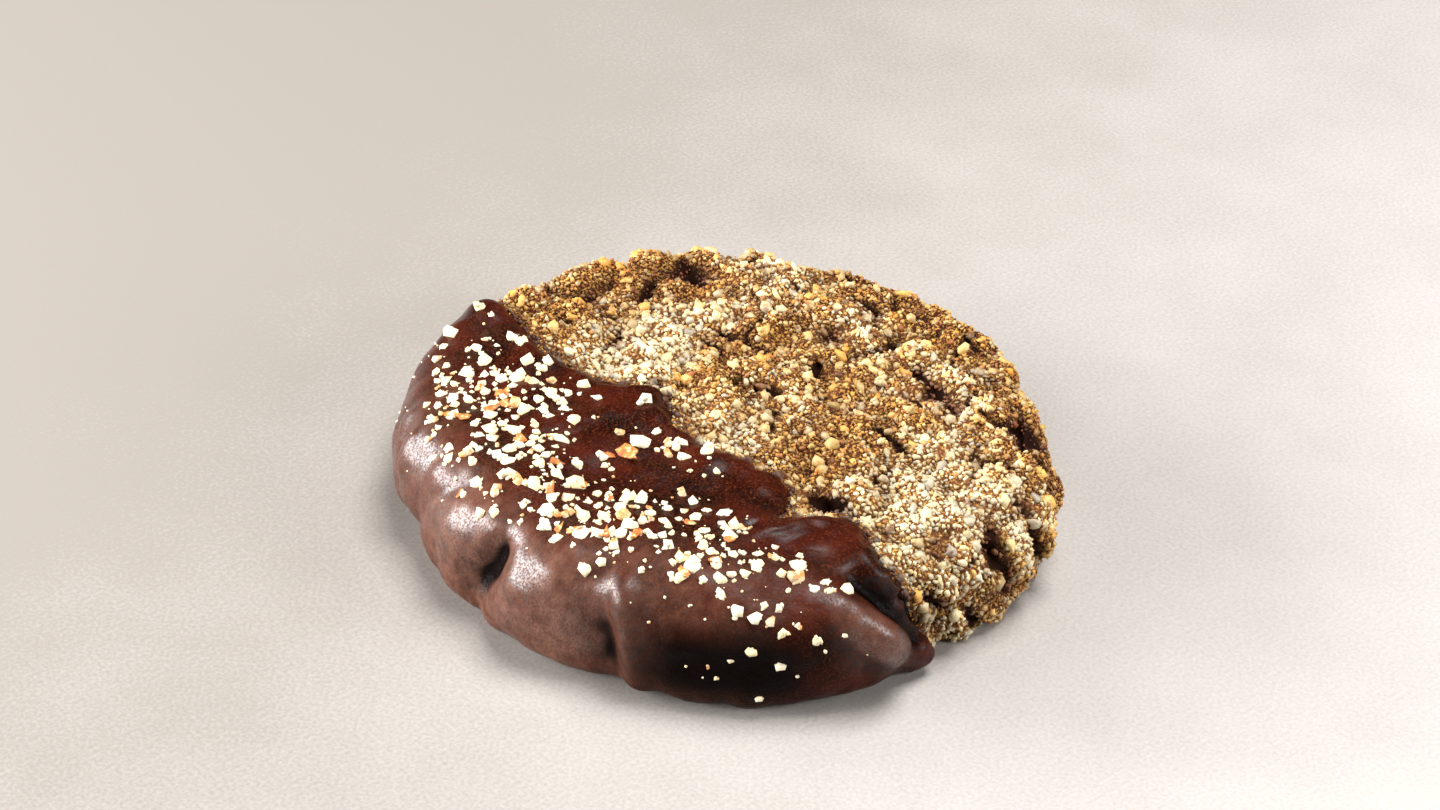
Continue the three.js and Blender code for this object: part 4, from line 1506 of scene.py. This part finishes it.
class COOKIE_OT_chopped_nuts(bpy.types.Operator):
    """Strews chopped nuts, flakes of skin and nut dust on the chocolate"""

    bl_idname = "cookie.chopped_nuts"
    bl_label = "Chopped Nuts"

    def execute(self, context):
        cookie = context.scene.dipped_cookie
        coat = bpy.data.objects["chocolate_shell"]
        self.surface = BVHTree.FromObject(coat, context.evaluated_depsgraph_get())
        self.cookie = cookie
        nuts = self.large_nuts() + self.edge_nuts()
        nuts += self.small_nuts(nuts)
        skin = self.scattered(*SKIN_SCATTER) + self.single_flakes()
        dust = self.scattered(*DUST_SCATTER)
        tree = strew_tree()
        pieces, specks = chunks("chunk"), chunks("speck")
        flakes = shapes("flakes", [flake(f"flake_{k}", FLAKE_SEED + k) for k in range(FLAKE_COUNT)])
        nut_look = nut_material(cookie)
        self.strew("chopped_nuts", nuts, tree, pieces, nut_look, 1)
        self.strew("skin_flakes", skin, tree, flakes, flake_material(cookie), 2)
        self.strew("nut_dust", dust, tree, specks, nut_look, 3)
        discard(pieces, flakes, specks)
        return {"FINISHED"}

    def land(self, start, towards, size, sink, clear):
        """Where a nut moved along a line comes to lie, the way the chocolate faces there, and its size."""
        middle = Vector(MIDDLE) * MM
        hit, normal, _, _ = self.surface.ray_cast(Vector(start) - middle, Vector(towards))
        if hit is None:
            return None
        place = np.array(hit + middle)
        if dip_depth(place[None], self.cookie)[0] <= clear:
            return None
        return place + np.array(towards) * size * sink, np.array(normal), size

    def drop(self, x, y, size, sink, clear=None):
        """Where a nut dropped from above comes to lie, if it keeps clear of the chocolate's edge."""
        clear = self.cookie.nuts.clear if clear is None else clear
        return self.land((x, y, DROP_HEIGHT * MM), DOWN, size, sink, clear)

    def large_nuts(self):
        """The nuts of the solids, drawn by the same rule."""
        nuts = self.cookie.nuts
        draw = even_draws(nuts.seed)
        found = []

        def add(landed):
            if landed and apart(landed[0], landed[2], found, nuts.spacing):
                found.append(landed)

        for x, y, spread_x, spread_y, count in NUT_PATCHES:
            for k in range(count):
                reach = math.sqrt(-2 * math.log(1 - next(draw)))
                angle = 2 * math.pi * next(draw)
                across = (x + reach * math.cos(angle) * spread_x) * MM
                along = (y + reach * math.sin(angle) * spread_y) * MM
                if math.hypot(across, along) < nuts.rim:
                    size = nuts.first + (nuts.last - nuts.first) * k / count
                    add(self.drop(across, along, size, nuts.sink))
        for degrees, height, size in WALL_NUTS + WALL_BITS:
            out = np.array((math.cos(math.radians(degrees)), math.sin(math.radians(degrees)), 0))
            start = out * WALL_START * MM + (0, 0, height * MM)
            add(self.land(start, -out, size * MM, nuts.sink, nuts.clear))
        return found

    def edge_nuts(self):
        """Single nuts beside the edge of the chocolate."""
        nuts = self.cookie.nuts
        landed = [self.drop(x * MM, y * MM, size * MM, nuts.sink, 0) for x, y, size in EDGE_NUTS]
        return [nut for nut in landed if nut]

    def small_nuts(self, taken):
        """Smaller bits between the nuts, in the same patches."""
        nuts = self.cookie.nuts
        draw = np.random.default_rng(nuts.seed)
        growth = SMALL_LARGEST * nuts.last - nuts.smallest
        found = []
        for x, y, spread_x, spread_y, count in NUT_PATCHES:
            for _ in range(int(SMALL_COUNT * count)):
                spot = draw.normal((x, y), (spread_x * SMALL_SPREAD, spread_y * SMALL_SPREAD)) * MM
                size = nuts.smallest + growth * draw.uniform() ** SMALL_POWER
                landed = self.drop(*spot, size, nuts.sink)
                if not landed or np.hypot(*spot) >= nuts.rim:
                    continue
                if apart(landed[0], size, taken + found, SMALL_SPACING):
                    found.append(landed)
        return found

    def single_flakes(self):
        """Flakes that stand out between the nuts."""
        return [self.drop(x * MM, y * MM, size * MM, FLAKE_SINK) for x, y, size in SKIN_FLAKES]

    def scattered(self, count, width, sizes, seed, sink):
        """Light things that fell where the nuts fell, closer together or wider than they by a share."""
        draw = np.random.default_rng(seed)
        weights = np.array([patch[4] for patch in NUT_PATCHES], float)
        found = []
        for pick in draw.choice(len(NUT_PATCHES), count, p=weights / weights.sum()):
            x, y, spread_x, spread_y, _ = NUT_PATCHES[pick]
            spot = draw.normal((x, y), (spread_x * width, spread_y * width)) * MM
            landed = self.drop(*spot, draw.uniform(*sizes) * MM, sink)
            if landed:
                found.append(landed)
        return found

    def strew(self, name, places, tree, collection, material, seed):
        """Lays copies of shapes at the given places, each turned at random about the surface's normal."""
        draw = np.random.default_rng(seed)
        turns = []
        for _, normal, _ in places:
            upright = Vector(normal).to_track_quat("Z", "Y").to_matrix()
            tip = Matrix.Rotation(draw.uniform(-NUT_TIP, NUT_TIP), 3, "X")
            spin = Matrix.Rotation(draw.uniform(0, 2 * math.pi), 3, "Z")
            turns.append(tuple((upright @ tip @ spin).to_euler()))
        spots = np.array([place for place, _, _ in places])
        values = {"size": [size for _, _, size in places], "turn": np.array(turns)}
        points = new_object(name + "_places", spots, np.zeros((0, 3), int), values)
        inputs = {"Shapes": collection, "Material": material, "Size": NUT_SCALE}
        dress(grow(name, points, tree, inputs), "chocolate_coat")
        bpy.data.objects.remove(points)


def view_basis(stage):
    """The camera's right, up and backward directions."""
    flat, side = math.cos(stage.elevation), math.sin(stage.azimuth)
    back = Vector((side * flat, -math.cos(stage.azimuth) * flat, math.sin(stage.elevation)))
    right = Vector((0, 0, 1)).cross(back).normalized()
    up = back.cross(right)
    level = Matrix.Rotation(stage.roll, 3, back)
    return level @ right, level @ up, back


class COOKIE_OT_stage(bpy.types.Operator):
    """Sets up the floor, the lights and the camera"""

    bl_idname = "cookie.stage"
    bl_label = "Stage"

    def execute(self, context):
        cookie, scene = context.scene.dipped_cookie, context.scene
        self.floor(cookie)
        self.camera(scene, cookie.stage)
        for name, softbox in SOFTBOXES.items():
            self.light(name, cookie.stage, *softbox)
        world = bpy.data.worlds.new("soft_room")
        world.use_nodes = True
        room = world.node_tree.nodes["Background"]
        room.inputs["Color"].default_value = ROOM_COLOUR
        room.inputs["Strength"].default_value = ROOM_STRENGTH
        scene.world = world
        scene.view_settings.view_transform = "Standard"
        return {"FINISHED"}

    @staticmethod
    def floor(cookie):
        """Lays the floor just below the base."""
        corners = np.array(((-1, -1, 0), (1, -1, 0), (1, 1, 0), (-1, 1, 0))) * FLOOR_HALF
        made = new_object("floor", corners, np.array([(0, 1, 2, 3)]), smooth=False)
        made.location.z = -FLOOR_DROP * MM
        made.data.materials.append(floor_material(cookie))

    @staticmethod
    def camera(scene, stage):
        """Places the camera and turns it to its aim point."""
        right, up, back = view_basis(stage)
        place = back * stage.distance
        aim = right * stage.aim_right + up * stage.aim_up
        sight = (place - aim).normalized()
        side = up.cross(sight).normalized()
        turned = Matrix((side, sight.cross(side), sight)).transposed()
        data = bpy.data.cameras.new("camera")
        data.lens = stage.lens
        data.sensor_width = SENSOR_WIDTH
        data.clip_start = NEAREST
        made = bpy.data.objects.new("camera", data)
        made.matrix_world = Matrix.Translation(place) @ turned.to_4x4()
        scene.collection.objects.link(made)
        scene.camera = made

    @staticmethod
    def light(name, stage, direction, distance, size, power):
        """A softbox, placed by its direction to the right, to the front and up, as the camera sees it."""
        right = Vector((math.cos(stage.azimuth), math.sin(stage.azimuth), 0))
        front = Vector((math.sin(stage.azimuth), -math.cos(stage.azimuth), 0))
        way = (right * direction[0] + front * direction[1] + Vector((0, 0, direction[2]))).normalized()
        data = bpy.data.lights.new(name, "AREA")
        data.shape = "RECTANGLE"
        data.size, data.size_y = size
        data.energy = power
        made = bpy.data.objects.new(name, data)
        made.location = way * distance
        made.rotation_euler = way.to_track_quat("Z", "Y").to_euler()
        bpy.context.scene.collection.objects.link(made)


class COOKIE_PT_panel(bpy.types.Panel):
    """Steps of the cookie, in order"""

    bl_idname = "COOKIE_PT_panel"
    bl_label = "Dipped Nut Cookie"
    bl_space_type = "VIEW_3D"
    bl_region_type = "UI"
    bl_category = "Cookie"

    def draw(self, context):
        for step in STEPS:
            self.layout.operator(step.bl_idname)


STEPS = (COOKIE_OT_biscuit, COOKIE_OT_crumb, COOKIE_OT_chocolate, COOKIE_OT_chopped_nuts, COOKIE_OT_stage)
GROUPS = (BiscuitSettings, CrumbSettings, ChocolateSettings, NutSettings, StageSettings, CookieSettings)
CLASSES = (*GROUPS, *STEPS, COOKIE_PT_panel)


def register():
    """Makes the settings, steps and panel known to Blender."""
    for made in CLASSES:
        bpy.utils.register_class(made)
    bpy.types.Scene.dipped_cookie = PointerProperty(type=CookieSettings)


def unregister():
    """Takes them out again."""
    del bpy.types.Scene.dipped_cookie
    for made in reversed(CLASSES):
        bpy.utils.unregister_class(made)


def main():
    """Builds the cookie step by step."""
    register()
    bpy.ops.cookie.biscuit()
    bpy.ops.cookie.crumb()
    bpy.ops.cookie.chocolate()
    bpy.ops.cookie.chopped_nuts()
    bpy.ops.cookie.stage()


if __name__ == "__main__":
    main()
